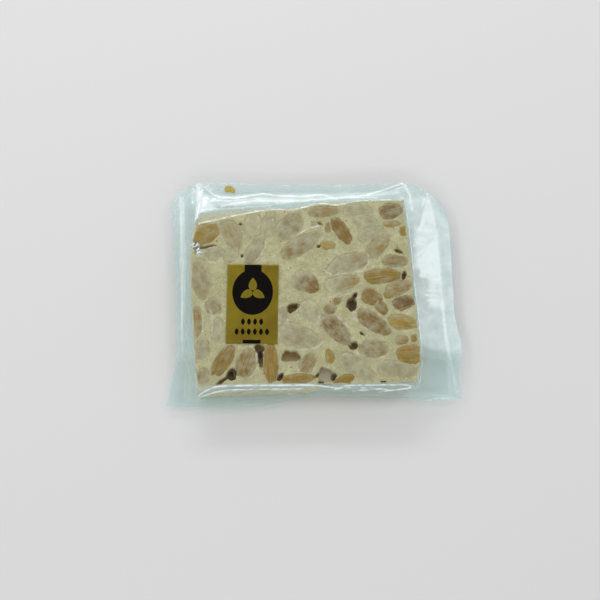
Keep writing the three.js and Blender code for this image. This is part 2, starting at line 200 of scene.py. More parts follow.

# Creases of the film outside the slab, each also painted white along its line as a highlight: height, half
# width, then the points of the line, all in mm.
CREASES = [
    (0.4, 0.7, [
        (-42.6, 55.9), (-37.5, 58), (-31.6, 59.2), (-22, 60.6), (0, 60), (28.4, 61.8), (42.1, 61.2),
    ]),
    (0.45, 0.6, [(-55.9, 70.2), (-50.8, 66.9), (-47.2, 63.7), (-43.3, 62.1), (-35, 61.8), (-27.7, 63.1)]),
    (0.4, 0.6, [
        (-27.7, 63.1), (-20.4, 64.4), (-13.1, 63.1), (0, 62.6), (12.3, 63.7), (19.2, 61.8), (33, 63),
    ]),
    (0.35, 0.6, [(33, 63), (43.8, 65.7), (55.5, 70)]),
    (0.35, 0.5, [(-52.8, 53.5), (-46, 54.3), (-42.2, 53.8), (-32.4, 54.6), (-22.7, 55.5), (-15.4, 55.8)]),
    (0.9, 1.0, [(-55.9, 70.2), (-54.9, 57.4), (-55.9, 47.5)]),
    (0.25, 0.5, [(-58.8, 67), (-58.9, 58.3)]),
    (0.3, 0.5, [(-65.8, 63), (-64.6, 43.7), (-63.4, 25.2), (-63, 3.6), (-63.2, -20)]),
    (0.5, 0.8, [(57.4, 69.5), (60.3, 63), (60.9, 54)]),
    (0.45, 0.5, [(71.6, 66.5), (69.5, 64.2)]),
    (0.45, 0.5, [(68.6, 61.5), (66.9, 57.5)]),
    (0.5, 0.5, [(70, 60), (64.9, 41.3), (73.7, 41.8), (70.6, 61)]),
    (0.4, 0.4, [(62.3, 36.4), (68.4, 37)]),
    (0.4, 0.4, [(62.4, 34.4), (67.4, 33.6)]),
    (0.5, 0.5, [(61.6, 32.4), (67.6, 31.4), (63.6, 27)]),
    (-0.5, 0.8, [(65, 16), (74.4, 16)]),
    (0.35, 0.4, [(68.2, 8), (76, 8.6)]),
    (0.4, 0.4, [(67.5, 5.2), (76, 5.8)]),
    (0.3, 0.4, [(68.4, 2.4), (75.4, 3)]),
    (0.25, 0.7, [(76.5, 1.4), (77.7, -17.3), (80.3, -32.4), (82.7, -47)]),
]

# Painted highlights on the film, as milky white areas: how white, how soft the edge is in mm, then the
# corners, counter-clockwise.
HIGHLIGHT_PATCHES = [
    (0.3, 3.0, [(70, 63), (64.8, 41.6), (73.6, 41.6)]),
    (0.7, 2.6, [(66, 16), (75.2, 16), (74.8, 31), (72.2, 36.5), (64.3, 27.5), (64.3, 21)]),
    (0.25, 4.0, [(61.5, 20), (76, 20), (75, 44), (62, 44)]),
    (0.28, 3.5, [(69, 17), (69.5, -1), (77.5, -1), (76.5, 17)]),
    (0.36, 5.0, [(55, 60), (61, -24), (88, -26), (85, 40), (72, 64)]),
    (0.45, 5.0, [(-56.5, 52), (-46, 54), (-52.5, 64), (-56.5, 64)]),
    (0.36, 3.0, [(-56, 53), (-10, 57.5), (54, 60), (54, 66), (-20, 65), (-52, 64)]),
    (0.35, 1.6, [(-67.6, 63), (-65.4, 24), (-65, -28), (-62, -28), (-61.6, 24), (-63.6, 63)]),
]
DIM_BELOW = -31  # painted reflection: the film is painted paler behind this line than in front of it, where it mirrors something darker
EDGE_HIGHLIGHT = (0.0, 0.4, 0.0, 0.25)  # painted highlight: how white the film is painted along the top's front, right, back and left edge
SHOULDER_HIGHLIGHT = (0.1, 0.4, 0.1, 0.2)  # and the painted highlight along the shoulder below it
EDGE_TURNS = 4  # rings of the film round the top's worn edge
EDGE_RINGS = 14  # from there down to its shoulder
SLOPE_RINGS = 22  # from the shoulder down to the seam
FIN_RINGS = 14  # from the seam out to the rim
UNDER_RINGS = 10  # and from the seam in to the flat underside

# Painted highlights along the film's front and back, drawn where they are seen on the level of the top face.
FRONT_LOOK = 0.325  # how far a point appears to the front for each mm below the top face
GLINT_WIDTH = 0.42  # their half width, mm
# Those of the front: how white, then the points of the line, in mm.
FRONT_LINES = [
    (1.0, [
        (-53.5, -53.3), (-51.5, -51.4), (-48.9, -49.8), (-45.8, -48.1), (-42.2, -47.3), (-37.5, -47),
        (-19.8, -46.9), (0, -46.6), (8.3, -46.8), (13, -47.5), (18.2, -48.4), (20.8, -48.3), (24, -47),
        (28.1, -46.8),
    ]),
    (0.9, [
        (28.1, -46.8), (44.3, -46.6), (52.1, -46.5), (56.8, -46.9), (58.1, -48.1), (56.2, -48.9),
        (49.4, -49.7), (45.3, -50.2), (41.6, -51.2),
    ]),
    (0.9, [
        (-53, -54.1), (-49.4, -52.6), (-44.7, -50.9), (-40.6, -50), (-33.8, -49.4), (-20.8, -49.1),
        (-5.2, -49), (1.6, -48.9),
    ]),
    (0.8, [(18.2, -49.3), (23.4, -48.4), (31.2, -48.4), (38.5, -48.6), (42.2, -49), (46.3, -49.4)]),
    (0.8, [(27.4, -50.6), (32.3, -49.9), (37.5, -49.4), (42.2, -49)]),
]
WELD = (0.15, 0.7)  # the ridge where the welded fin starts: its height and half width

EGG = 0.18  # how much narrower an almond is towards its pointed end
PLUMP = 2.25  # 2 would make its outline an ellipse, and more fills the corners
SHOWS = 0.78  # the share of an almond's length and width that stands clear of the nougat
ALMOND_HALF = 3.2  # half its thickness

LABEL = {"width": 27.2, "depth": 44.0, "x": -25.2, "y": -2.2, "turn": -0.6}
LABEL_FACE = THICKNESS + 0.22  # the level of its printed face
LABEL_PAPER = 0.12  # its thickness
PRINT_THICKNESS = 0.03  # drawn thicker than real ink, so that it stands clear of the paper
FILM_GAP = 0.35  # between the nougat's sides and the film
UNDERCUT = 5.5  # how far the nougat's foot stands back at the right of its front, behind taut film
UNDERCUT_FROM, UNDERCUT_OVER = 2.0, 16.0  # where that starts, and the length over which it grows


def frame_shift():
    """From the drawing's own middle to the frame's origin, in mm: where the frame has the label's middle,
    less where the drawing has it."""
    low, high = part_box("label")
    return np.array([(low.x + high.x) / 2 / MM - LABEL["x"], (low.y + high.y) / 2 / MM - LABEL["y"], 0.0])


SHIFT = frame_shift()


# ---------------- numbers on arrays


def to_metres(points):
    """Drawing millimetres to the frame's metres."""
    return (points + SHIFT) * MM


def smooth(t):
    """A soft step: 0 up to t = 0, 1 from t = 1, and 3t^2 - 2t^3 between."""
    t = np.clip(t, 0, 1)
    return t * t * (3 - 2 * t)


def mix(a, b, t):
    """The way from a to b, a at t = 0 and b at t = 1."""
    return a + (b - a) * t


def turned(x, y, turn):
    """x and y turned about the origin, by `turn` in degrees."""
    c, s = math.cos(math.radians(turn)), math.sin(math.radians(turn))
    return x * c - y * s, x * s + y * c


def grain(points, size, seed):
    """Seeded unevenness about `size` mm across and mostly within -1 to 1: the sum of 24 sine waves of
    about that length, each with its own heading and start. `points` ends in 2 or 3 coordinates."""
    points = np.asarray(points, float)
    draw = np.random.default_rng(seed)
    total = np.zeros(points.shape[:-1])
    for _ in range(24):
        heading = draw.normal(size=3)[: points.shape[-1]]
        wave = heading / np.linalg.norm(heading) * (2 * math.pi / (size * draw.uniform(0.7, 1.5)))
        total += np.sin(points @ wave + draw.uniform(0, 2 * math.pi))
    return total / math.sqrt(24)


def blurred(field, cells):
    """The field under a bell-shaped average that is `cells` wide each way, its edges carried outwards."""
    reach = int(math.ceil(cells * 2.5))
    weights = np.exp(-0.5 * (np.arange(-reach, reach + 1) / cells) ** 2)
    weights /= weights.sum()
    for axis in (0, 1):
        pad = [(0, 0), (0, 0)]
        pad[axis] = (reach, reach)
        wide = np.pad(field, pad, mode="edge")
        span = field.shape[axis]
        field = sum(w * wide.take(range(k, k + span), axis) for k, w in enumerate(weights))
    return field


def curve(knots, cells):
    """A smooth line through the knots, in `cells` equal steps. Between two knots it is a cubic, whose end
    slopes come from the knots around, weighed by the square roots of their distances."""
    knots = np.array([(*k, 0.0)[:3] for k in knots], float)
    p = np.vstack([2 * knots[0] - knots[1], knots, 2 * knots[-1] - knots[-2]])
    gap = np.sqrt(np.linalg.norm(np.diff(p, axis=0), axis=1))[:, None]
    before, here, after = gap[:-2], gap[1:-1], gap[2:]
    p0, p1, p2, p3 = p[:-3], p[1:-2], p[2:-1], p[3:]
    leave = ((p1 - p0) / before - (p2 - p0) / (before + here) + (p2 - p1) / here) * here
    reach = ((p2 - p1) / here - (p3 - p1) / (here + after) + (p3 - p2) / after) * here
    cubic = (p1, leave, -3 * p1 + 3 * p2 - 2 * leave - reach, 2 * p1 - 2 * p2 + leave + reach)
    a, b, c, d = (part[:, None, :] for part in cubic)
    t = np.linspace(0, 1, 40, endpoint=False)[None, :, None]
    fine = np.vstack([(a + b * t + c * t**2 + d * t**3).reshape(-1, 3), knots[-1:]])
    run = np.concatenate([[0], np.cumsum(np.linalg.norm(np.diff(fine, axis=0), axis=1))])
    even = np.linspace(0, run[-1], cells + 1)
    return np.stack([np.interp(even, run, fine[:, k]) for k in range(3)], 1)


def ring(outline, cells):
    """The four sides of an outline as one closed ring of points, with cells[0] steps along the front and
    back and cells[1] along the other two. Each side ends where the next one starts."""
    sides = [[*side, after[0]] for side, after in zip(outline, [*outline[1:], outline[0]])]
    return np.vstack([curve(side, cells[k % 2])[:-1] for k, side in enumerate(sides)])


def square_to(run):
    """The level unit vectors to the right of a run of steps."""
    out = np.stack([run[:, 1], -run[:, 0], np.zeros(len(run))], 1)
    return out / np.linalg.norm(out, axis=1)[:, None]


def outward(points):
    """The level unit vectors that point out of a counter-clockwise ring, square to the line between the
    neighbours of each point."""
    return square_to(np.roll(points, -1, 0) - np.roll(points, 1, 0))


def drawn_in(points, distance, cells):
    """A ring of four sides moved inwards. Each side moves square to itself, and its points close up along
    it so that it still meets its neighbours at the corners."""
    starts = np.cumsum([0, *cells, cells[0]])
    steps = [np.arange(start, start + count + 1) for start, count in zip(starts, cells * 2)]
    sides = [points[step % len(points)] for step in steps]
    outs = [square_to(np.gradient(side, axis=0)) for side in sides]
    moved = []
    for k, (side, out) in enumerate(zip(sides, outs)):
        ends = ((out[0], outs[k - 1][-1]), (out[-1], outs[(k + 1) % 4][0]))
        first, last = (n - (n + m) / (1 + n @ m) for n, m in ends)
        along = np.linspace(0, 1, len(side))[:, None]
        moved.append((side + distance * (mix(first, last, along) - out))[:-1])
    return np.vstack(moved)


def at_height(points, z):
    """The points with z as their height, one for all or one for each."""
    return np.column_stack([points[:, :2], np.broadcast_to(z, len(points))])


def between(first, last, steps):
    """Rings that run straight from one to another."""
    return [mix(first, last, s) for s in np.linspace(0, 1, steps + 1)[1:]]


def rounded_over(inner, outer, steps):
    """Rings from a top face's edge out and down to another ring, along a quarter of an ellipse."""
    turns = np.linspace(0, math.pi / 2, steps + 1)[1:]
    levels = [mix(inner[:, 2], outer[:, 2], 1 - math.cos(a)) for a in turns]
    return [at_height(mix(inner, outer, math.sin(a)), level) for a, level in zip(turns, levels)]


def fitted_grid(edge, cells):
    """A grid inside a ring: each point is the sum of its places on the two rulings between opposite
    sides, less its place between the four corners."""
    across, deep = cells
    front, right = edge[: across + 1], edge[across : across + deep + 1]
    back = edge[across + deep : 2 * across + deep + 1][::-1]
    left = np.vstack([edge[2 * across + deep :], edge[:1]])[::-1]
    u = np.linspace(0, 1, across + 1)[None, :, None]
    v = np.linspace(0, 1, deep + 1)[:, None, None]
    ruled = mix(front[None], back[None], v) + mix(left[:, None], right[:, None], u)
    corners = mix(mix(front[0], front[-1], u), mix(back[0], back[-1], u), v)
    return ruled - corners


def grid_edge(grid):
    """What lies along a grid's edge, counter-clockwise from its first corner."""
    return np.concatenate([grid[0, :-1], grid[:-1, -1], grid[-1, :0:-1], grid[:0:-1, 0]])


def near_corner(cells):
    """How near each point of a ring lies to a corner: the eighth power of its share of the way there from
    its side's middle, so 0 along the sides and 1 at the corner."""
    return np.concatenate([np.abs(2 * np.arange(n) / n - 1) ** 8 for n in cells * 2])


def in_oval(points, oval):
    """Where points lie in an egg-shaped oval (x, y, length, width, turn): 0 at its middle, 1 on its edge,
    and between them (|along|^PLUMP + |across|^PLUMP)^(1 / PLUMP), with the width less at the pointed end."""
    x, y, length, width, turn = oval
    along, across = turned(points[..., 0] - x, points[..., 1] - y, -turn)
    along = along / (length / 2)
    across = across / (width / 2) / (1 - EGG * np.clip(along, -1, 1))
    return (np.abs(along) ** PLUMP + np.abs(across) ** PLUMP) ** (1 / PLUMP)


def off_line(points, line):
    """The level distance of points from a line of straight stretches."""
    line = np.array(line, float)
    nearest = np.full(points.shape[:-1], 1e9)
    for start, end in zip(line[:-1], line[1:]):
        way = end - start
        t = np.clip((points[..., :2] - start) @ way / (way @ way), 0, 1)[..., None]
        nearest = np.minimum(nearest, np.linalg.norm(points[..., :2] - start - t * way, axis=-1))
    return nearest


def on_line(points, line, width):
    """1 on a line, falling to both sides as e^-(distance / width)^2."""
    return np.exp(-((off_line(points, line) / width) ** 2))


def within(points, corners, soft):
    """1 well inside a counter-clockwise polygon without dents, 0 outside, over `soft` mm."""
    corners = np.array(corners, float)
    depth = np.full(points.shape[:-1], 1e9)
    for start, end in zip(corners, np.roll(corners, -1, 0)):
        way = (end - start) / np.linalg.norm(end - start)
        off = points[..., :2] - start
        depth = np.minimum(depth, way[0] * off[..., 1] - way[1] * off[..., 0])
    return smooth(depth / soft + 0.5)


# ---------------- meshes


def closed_body(grid, rings, centre):
    """The points and faces of a closed body: a grid on top, rings that follow its edge down and under, and
    a point that closes the last ring."""
    index = np.arange(grid.shape[0] * grid.shape[1]).reshape(grid.shape[:2])
    cell = [index[:-1, :-1], index[:-1, 1:], index[1:, 1:], index[1:, :-1]]
    quads = [np.stack(cell, -1).reshape(-1, 4)]
    last = grid_edge(index)
    start = index.size
    for _ in rings:
        this = np.arange(start, start + len(last))
        quads.append(np.stack([last, this, np.roll(this, -1), np.roll(last, -1)], 1))
        last, start = this, start + len(this)
    fan = np.stack([last, np.full(len(last), start), np.roll(last, -1)], 1)
    return np.vstack([grid.reshape(-1, 3), *rings, centre]), np.vstack(quads), fan


def joined(bodies):
    """Bodies as one, each given and returned as points, four-cornered faces and three-cornered ones."""
    points, quads, fans = zip(*bodies)
    starts = np.cumsum([0, *(len(where) for where in points[:-1])])
    quads, fans = (np.vstack([f + start for f, start in zip(faces, starts)]) for faces in (quads, fans))
    return np.vstack(points), quads, fans


def add_piece(name, points, quads, fans, uv=None, **attributes):
    """A new mesh object from drawing points in mm, four-cornered faces and three-cornered ones. uv is one
    pair for each point, and each further array becomes a number stored at the points."""
    mesh = bpy.data.meshes.new(name)
    mesh.vertices.add(len(points))
    mesh.vertices.foreach_set("co", to_metres(points).astype(np.float32).ravel())
    corners = np.concatenate([quads.ravel(), fans.ravel()])
    mesh.loops.add(len(corners))
    mesh.loops.foreach_set("vertex_index", corners.astype(np.int32))
    sizes = np.concatenate([np.full(len(quads), 4), np.full(len(fans), 3)])
    mesh.polygons.add(len(sizes))
    mesh.polygons.foreach_set("loop_start", (np.cumsum(sizes) - sizes).astype(np.int32))
    mesh.polygons.foreach_set("use_smooth", np.ones(len(sizes), bool))
    mesh.update(calc_edges=True)
    if uv is not None:
        layer = mesh.uv_layers.new(name="UVMap")
        layer.data.foreach_set("uv", uv[corners].astype(np.float32).ravel())
    for key, values in attributes.items():
        layer = mesh.attributes.new(key, "FLOAT", "POINT")
        layer.data.foreach_set("value", np.asarray(values, np.float32).ravel())
    mesh.validate()
    obj = bpy.data.objects.new(name, mesh)
    bpy.context.scene.collection.objects.link(obj)
    return obj


def finish_piece(obj, material, slot, *nodes):
    """Gives a piece its material, hangs it under the root body, and hides the parts of model.glb that it
    replaces.
    """
    obj.data.materials.append(material)
    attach(obj, "root")
    if nodes:
        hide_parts(*nodes)


# ---------------- materials


def linear(text):
    """An sRGB hex colour such as "#c8bfa0" as the linear numbers that a shader takes."""
    parts = np.array([int(text[k : k + 2], 16) for k in (1, 3, 5)]) / 255
    parts = np.where(parts <= 0.04045, parts / 12.92, ((parts + 0.055) / 1.055) ** 2.4)
    return (*parts, 1.0)


def add_node(tree, kind, sockets, give=0, **settings):
    """Adds one node with its settings, and gives its output of that name or number, if it has any.
    `sockets` gives each input, by name or number, a value or the output that feeds it."""
    made = tree.nodes.new("ShaderNode" + kind)
    for key, value in settings.items():
        setattr(made, key, value)
    for key, value in sockets.items():
        if isinstance(value, bpy.types.NodeSocket):
            tree.links.new(value, made.inputs[key])
        else:
            made.inputs[key].default_value = value
    return made.outputs[give] if made.outputs else None


def new_material(name):
    """An empty material and its node tree."""
    material = bpy.data.materials.new(name)
    material.use_nodes = True
    material.node_tree.nodes.clear()
    return material, material.node_tree


def layered(tree, base, layers):
    """A base colour under layers. Each layer is the value that places it, its colour, and the two levels
    between which the value brings it up, then how much it covers at most. Without levels, the value is
    the share that it covers."""
    for value, colour, *levels in layers:
        if levels:
            levels = dict(zip(("From Min", "From Max", "To Max"), levels))
            value = add_node(tree, "MapRange", {0: value, **levels}, interpolation_type="SMOOTHSTEP")
        base = add_node(tree, "Mix", {0: value, 6: base, 7: colour}, 2, data_type="RGBA")
    return base


def nougat_material(colours):
    """Hard nougat: egg white and honey boiled hard, cut with a knife. Matt and a little waxy, creamy
    where it is full of air and darker and more yellow where it is dense."""
    material, tree = new_material("hard_nougat")
    place = add_node(tree, "TexCoord", {}, "Object")
    # Clouds, crumbs, grains and specks, by their size in mm and how finely they are broken up.
    noise = {"Vector": place, "Roughness": 0.55}
    clouds, crumbs, grains, specks = (
        add_node(tree, "TexNoise", {**noise, "Scale": 1 / (size * MM), "Detail": detail})
        for size, detail in ((9, 3), (2.2, 4), (0.7, 2), (1.9, 1))
    )
    over_nut, pit = (add_node(tree, "Attribute", {}, "Fac", attribute_name=key) for key in ("shade", "pit"))
    base = layered(tree, colours.nougat_pale, [
        (clouds, colours.nougat_dense, 0.35, 0.65, 0.8),
        (crumbs, colours.nougat_dense, 0.3, 0.7, 0.75),
        (grains, colours.nougat_white, 0.5, 0.78),
        (specks, colours.speck, 0.7, 0.76),
        (over_nut, colours.nougat_shade),
        # Painted shade: the pits are painted brown on their walls and near black at their bottoms.
        (pit, colours.pit_wall_shade, 0.02, 0.5),
        (pit, colours.pit_shadow, 0.65, 1.0),
    ])
    bump = add_node(tree, "Bump", {"Height": grains, "Strength": 0.35, "Distance": 0.0003})
    skin = {"Base Color": base, "Roughness": 0.62, "Specular IOR Level": 0.3, "Normal": bump}
    add_node(tree, "OutputMaterial", {0: add_node(tree, "BsdfPrincipled", skin)})
    return material


def almond_material(colours):
    """Toasted almonds in their skins: brown, finely ribbed along the nut and matt, under a thin greyish
    veil of nougat where it ran over them."""
    material, tree = new_material("toasted_almond")
    nut = add_node(tree, "UVMap", {}, uv_map="UVMap")
    # Ribs about 0.9 mm apart and 8 mm long, on coordinates in cm.
    ribs = add_node(tree, "Mapping", {0: nut, "Scale": (1.0, 0.12, 1.0)})
    streak = add_node(tree, "TexNoise", {0: ribs, "Scale": 11.0, "Detail": 2.0, "Roughness": 0.6})
    levels = {0: streak, "From Min": 0.28, "From Max": 0.72}
    streak = add_node(tree, "MapRange", levels, interpolation_type="SMOOTHSTEP")
    tone, veil, rim, cut = (
        add_node(tree, "Attribute", {}, "Fac", attribute_name=key) for key in ("tone", "veil", "rim", "cut")
    )
    honey = layered(tree, colours.skin_honey, [(streak, colours.skin_gold)])
    brown = layered(tree, colours.skin_brown, [(streak, colours.skin_tan)])
    place = add_node(tree, "TexCoord", {}, "Object")
    blobs = {0: place, "Scale": 1 / (4 * MM), "Detail": 4.0, "Roughness": 0.6}
    cover = add_node(
        tree, "Math", {0: add_node(tree, "TexNoise", blobs), 1: 1.7, 2: veil}, operation="MULTIPLY_ADD"
    )
    cover = add_node(tree, "Math", {0: streak, 1: 0.16, 2: cover}, operation="MULTIPLY_ADD")
    base = layered(tree, honey, [
        (tone, brown),
        (cover, colours.veil, 0.85, 1.8),
        (cover, colours.nougat_pale, 1.55, 2.35),
        (rim, colours.nougat_pale),
        (cut, colours.flesh, 0.4, 0.7),
    ])
    bump = add_node(tree, "Bump", {"Height": streak, "Strength": 0.3, "Distance": 0.0003})
    shell = {"Base Color": base, "Roughness": 0.5, "Specular IOR Level": 0.25, "Normal": bump}
    add_node(tree, "OutputMaterial", {0: add_node(tree, "BsdfPrincipled", shell)})
    return material


def film_material(colours):
    """Clear vacuum film of polyamide and polythene, drawn tight: faintly blue, glossy and a little milky,
    with painted highlights and glints as white and cream diffuse where its attributes say. Both faces of a
    web mirror, so it mirrors about twice what one face does."""
    material, tree = new_material("vacuum_film")
    place = add_node(tree, "TexCoord", {}, "Object")
    haze, glint = (add_node(tree, "Attribute", {}, "Fac", attribute_name=key) for key in ("haze", "glint"))
    noise = {0: place, "Scale": 1 / (9 * MM), "Detail": 4.0, "Roughness": 0.6}
    cloud = add_node(
        tree, "Math", {0: add_node(tree, "TexNoise", noise), 1: 0.9, 2: 0.55}, operation="MULTIPLY_ADD"
    )
    milk_and_highlight = add_node(tree, "Math", {0: cloud, 1: haze}, operation="MULTIPLY", use_clamp=True)
    white = layered(tree, colours.film_haze, [(milk_and_highlight, colours.film_highlight, 0.35, 0.85)])
    body = add_node(tree, "BsdfTransparent", {"Color": colours.film_tint})
    # Painted light: the milky colour with its painted highlights, then the painted cream glints, each as lit
    # diffuse film.
    for share, colour in ((milk_and_highlight, white), (glint, colours.film_glint)):
        body = add_node(tree, "MixShader", {0: share, 1: body, 2: add_node(tree, "BsdfDiffuse", {0: colour})})
    noise = {0: place, "Scale": 1 / (2.6 * MM), "Detail": 2.0, "Roughness": 0.55}
    ripple = {"Height": add_node(tree, "TexNoise", noise), "Strength": 0.15, "Distance": 0.0004}
    bump = add_node(tree, "Bump", ripple)
    facing = add_node(tree, "LayerWeight", {"Blend": 0.5, "Normal": bump}, "Facing")
    graze = add_node(tree, "Math", {0: facing, 1: 5.0}, operation="POWER")
    mirror = add_node(tree, "Math", {0: graze, 1: 0.5, 2: 0.055}, operation="MULTIPLY_ADD")
    gloss = add_node(tree, "BsdfAnisotropic", {"Color": (1, 1, 1, 1), "Roughness": 0.13, "Normal": bump})
    add_node(tree, "OutputMaterial", {0: add_node(tree, "MixShader", {0: mirror, 1: body, 2: gloss})})
    return material


def gold_paper_material(colours):
    """Metallised label paper: a thin gold lacquer over aluminium on paper, satin rather than mirror."""
    material, tree = new_material("gold_paper")
    place = add_node(tree, "TexCoord", {}, "Object")
    cloud, fibre = (
        add_node(tree, "TexNoise", {0: place, "Scale": 1 / (size * MM), "Detail": detail, "Roughness": 0.55})
        for size, detail in ((12, 2), (0.9, 3))
    )
    base = layered(tree, colours.gold, [(cloud, colours.gold_shade, 0.3, 0.7)])
    bump = add_node(tree, "Bump", {"Height": fibre, "Strength": 0.12, "Distance": 0.0002})
    paper = {"Base Color": base, "Metallic": 0.55, "Roughness": 0.42, "Normal": bump}
    add_node(tree, "OutputMaterial", {0: add_node(tree, "BsdfPrincipled", paper)})
    return material


def ink_material(colours):
    """Black printing ink on foil paper: dense and faintly glossy."""
    material, tree = new_material("black_ink")
    place = add_node(tree, "TexCoord", {}, "Object")
    noise = {0: place, "Scale": 1 / (1.5 * MM), "Detail": 3.0, "Roughness": 0.55}
    levels = {0: add_node(tree, "TexNoise", noise), "To Min": 0.35, "To Max": 0.55}
    rough = add_node(tree, "MapRange", levels, interpolation_type="SMOOTHSTEP")
    ink = {"Base Color": colours.ink, "Roughness": rough, "Specular IOR Level": 0.08}
    add_node(tree, "OutputMaterial", {0: add_node(tree, "BsdfPrincipled", ink)})
    return material


def crumb_material(colours):
    """A crumb of toasted almond: yellow-tan, matt and grainy."""
    material, tree = new_material("almond_crumb")
    place = add_node(tree, "TexCoord", {}, "Object")
    noise = {0: place, "Scale": 1 / (0.9 * MM), "Detail": 3.0, "Roughness": 0.55}
    base = layered(tree, colours.crumb, [(add_node(tree, "TexNoise", noise), colours.crumb_shade)])
    crumb = add_node(tree, "BsdfPrincipled", {"Base Color": base, "Roughness": 0.7})
    add_node(tree, "OutputMaterial", {0: crumb})
    return material


def floor_material(colours):
    """Matt white card."""
    material, tree = new_material("white_card")
    add_node(tree, "OutputMaterial", {0: add_node(tree, "BsdfDiffuse", {"Color": colours.floor})})
    return material


# ---------------- what a user may change


def length_property(name, text, default):
    """A length in millimetres."""
    return FloatProperty(name=name, description=text, default=default, min=0.0, unit="NONE")


def cells_property(name, text, default):
    """A number of cells."""
    return IntProperty(name=name, description=text, default=default, min=20)


def colour_property(name, text, default):
    """A colour, from its sRGB hex value."""
    made = {"subtype": "COLOR", "size": 4, "min": 0.0, "max": 1.0, "default": linear(default)}
    return FloatVectorProperty(name=name, description=text, **made)


class TurronSizes(bpy.types.PropertyGroup):
    """Sizes of the slab and its film, in millimetres."""

    almond_rise: length_property("Almond rise", "How far an almond stands out of the nougat, mm", 0.65)
    roughness: length_property("Roughness", "Depth of the nougat's fine unevenness, mm", 0.14)
    film_lift: length_property("Film lift", "Air between the nougat's top and the film, mm", 0.12)
    fin_gap: length_property("Fin thickness", "The two webs of film in a fin, mm", 0.24)
    wrinkle: length_property("Wrinkles", "Height of the film's wrinkles on its slopes, mm", 0.35)
    fin_wave: length_property("Fin waves", "Height of the waves in the fins, mm", 0.5)
    slab_cells: cells_property("Slab cells", "Cells of the nougat's top across", 216)
    film_cells: cells_property("Film cells", "Cells of the film's top across", 196)


class TurronColours(bpy.types.PropertyGroup):
    """Colours of the nougat, the almonds, the film and the label."""

    nougat_pale: colour_property("Nougat, airy", "Nougat full of air", "#d3c69b")
    nougat_dense: colour_property("Nougat, dense", "Dense nougat", "#b7a97e")
    nougat_white: colour_property("Nougat, white", "Its whitest grains", "#e2d7b4")
    nougat_shade: colour_property("Nougat over almond", "Where an almond shows through", "#a89a7c")
    speck: colour_property("Specks", "Bits of almond skin in the nougat", "#9c8154")
    # The next two are painted shade in the pits: brown on their walls and near black at their bottoms.
    pit_wall_shade: colour_property("Pit wall", "The wall of an open pit", "#85683a")
    pit_shadow: colour_property("Pit depth", "The bottom of an open pit", "#1f1609")
    skin_honey: colour_property("Skin, honey", "The lightest almond skin", "#a68230")
    skin_gold: colour_property("Skin, gold", "Streaks on the lightest skin", "#bb983c")
    skin_brown: colour_property("Skin, brown", "The darkest almond skin", "#6f4e26")
    skin_tan: colour_property("Skin, tan", "Streaks on the darkest skin", "#8f6934")
    flesh: colour_property("Flesh", "A cut almond's inside", "#cfbf92")
    veil: colour_property("Veil", "The thin nougat over an almond", "#b5a78a")
    film_tint: colour_property("Film tint", "What one web of film lets through", "#f7fefe")
    # The next three are the film's milky colour, its painted highlights and its painted glints.
    film_haze: colour_property("Film haze", "Where the film is a little milky", "#e6fbfa")
    film_highlight: colour_property("Film, white", "Where the film is creased", "#f3ffff")
    film_glint: colour_property("Film, glints", "Fine glints over the nougat", "#f4f0dc")
    gold: colour_property("Gold", "The label's gold", "#9c8a21")
    gold_shade: colour_property("Gold, dark", "The label's darker gold", "#8a761c")
    ink: colour_property("Ink", "The label's print", "#0e0c09")
    crumb: colour_property("Crumb", "The crumb in the fin", "#cdbb66")
    crumb_shade: colour_property("Crumb, dark", "Its darker grains", "#a98d3a")
    floor: colour_property("Floor", "The card under the pack", "#e4e4e4")


# ---------------- the nougat


def sag(x, y):
    """The slow unevenness of the cut face: two slow waves in x and y."""
    return SAG * (np.sin(x / 17 + 0.6) * np.cos(y / 21) - 0.4 * np.sin(y / 11 + x / 29))


def slab_height(points, sizes):
    """Height of the nougat's top face at drawing points, with how much painted shade each point gets in a pit
    and how much a buried almond shades it. The face sags slowly, is finely rough, drops into a bed under each
    almond behind a low lip, and drops steeply into each pit."""
    flat = points[..., :2]
    x, y = flat[..., 0], flat[..., 1]
    rough = 0.6 * grain(flat, 9, 11) + 0.45 * grain(flat, 3.2, 12) + 0.25 * grain(flat, 1.5, 13)
    height = THICKNESS - 2 * sizes.film_lift + sag(x, y) + sizes.roughness * rough
    warp = 0.06 * grain(flat, 5, 14) + 0.03 * grain(flat, 2, 15)
    shade, pit = np.zeros(x.shape), np.zeros(x.shape)
    for *oval, _, veil, _ in ALMONDS:
        reach = in_oval(flat, oval) + warp
        bed = smooth((1.0 - 0.14 * veil - reach) / 0.12)
        height += 0.1 * np.exp(-(((reach - 1.1) / 0.12) ** 2)) - 1.3 * bed
        shade = np.maximum(shade, (0.35 + 0.2 * veil) * smooth((1.14 - 0.1 * veil - reach) / 0.14))
    # Painted shade: a pit's colour is painted darker towards its back, and a pale one is also deeper there.
    for *oval, depth, dark in PITS:
        inside = smooth((1.15 - (in_oval(flat, oval) + 2 * warp)) / 0.35)
        back = np.clip(0.8 + 0.5 * (y - oval[1]) / oval[3], 0.35, 1.1)
        deep = depth * (back if dark < 0.7 else 1.0)
        height = np.minimum(height, mix(THICKNESS, THICKNESS - deep, inside) + 0.2 * (1 - inside))
        pit = np.maximum(pit, inside * dark * back)
    return height, pit, shade


def in_pit(points):
    """1 inside a pit of the top face, 0 outside."""
    return np.max([smooth((1.15 - in_oval(points, oval)) / 0.25) for *oval, _, _ in PITS], axis=0)


def undercut(points):
    """How far the nougat's front side stands back at a height: nothing at the top edge and on the left,
    and most at the foot on the right."""
    share = smooth((points[..., 0] - UNDERCUT_FROM) / UNDERCUT_OVER) * smooth((-36.5 - points[..., 1]) / 10)
    return UNDERCUT * share * np.clip((THICKNESS - points[..., 2]) / (THICKNESS - FOOT_HEIGHT), 0, 1)


def slab_rings(cells):
    """The outlines of the nougat a little inside the film's: its top edge, its shoulder and its foot."""
    return (drawn_in(ring(outline, cells), FILM_GAP, cells) for outline in (TOP_EDGE, SHOULDER, FOOT))


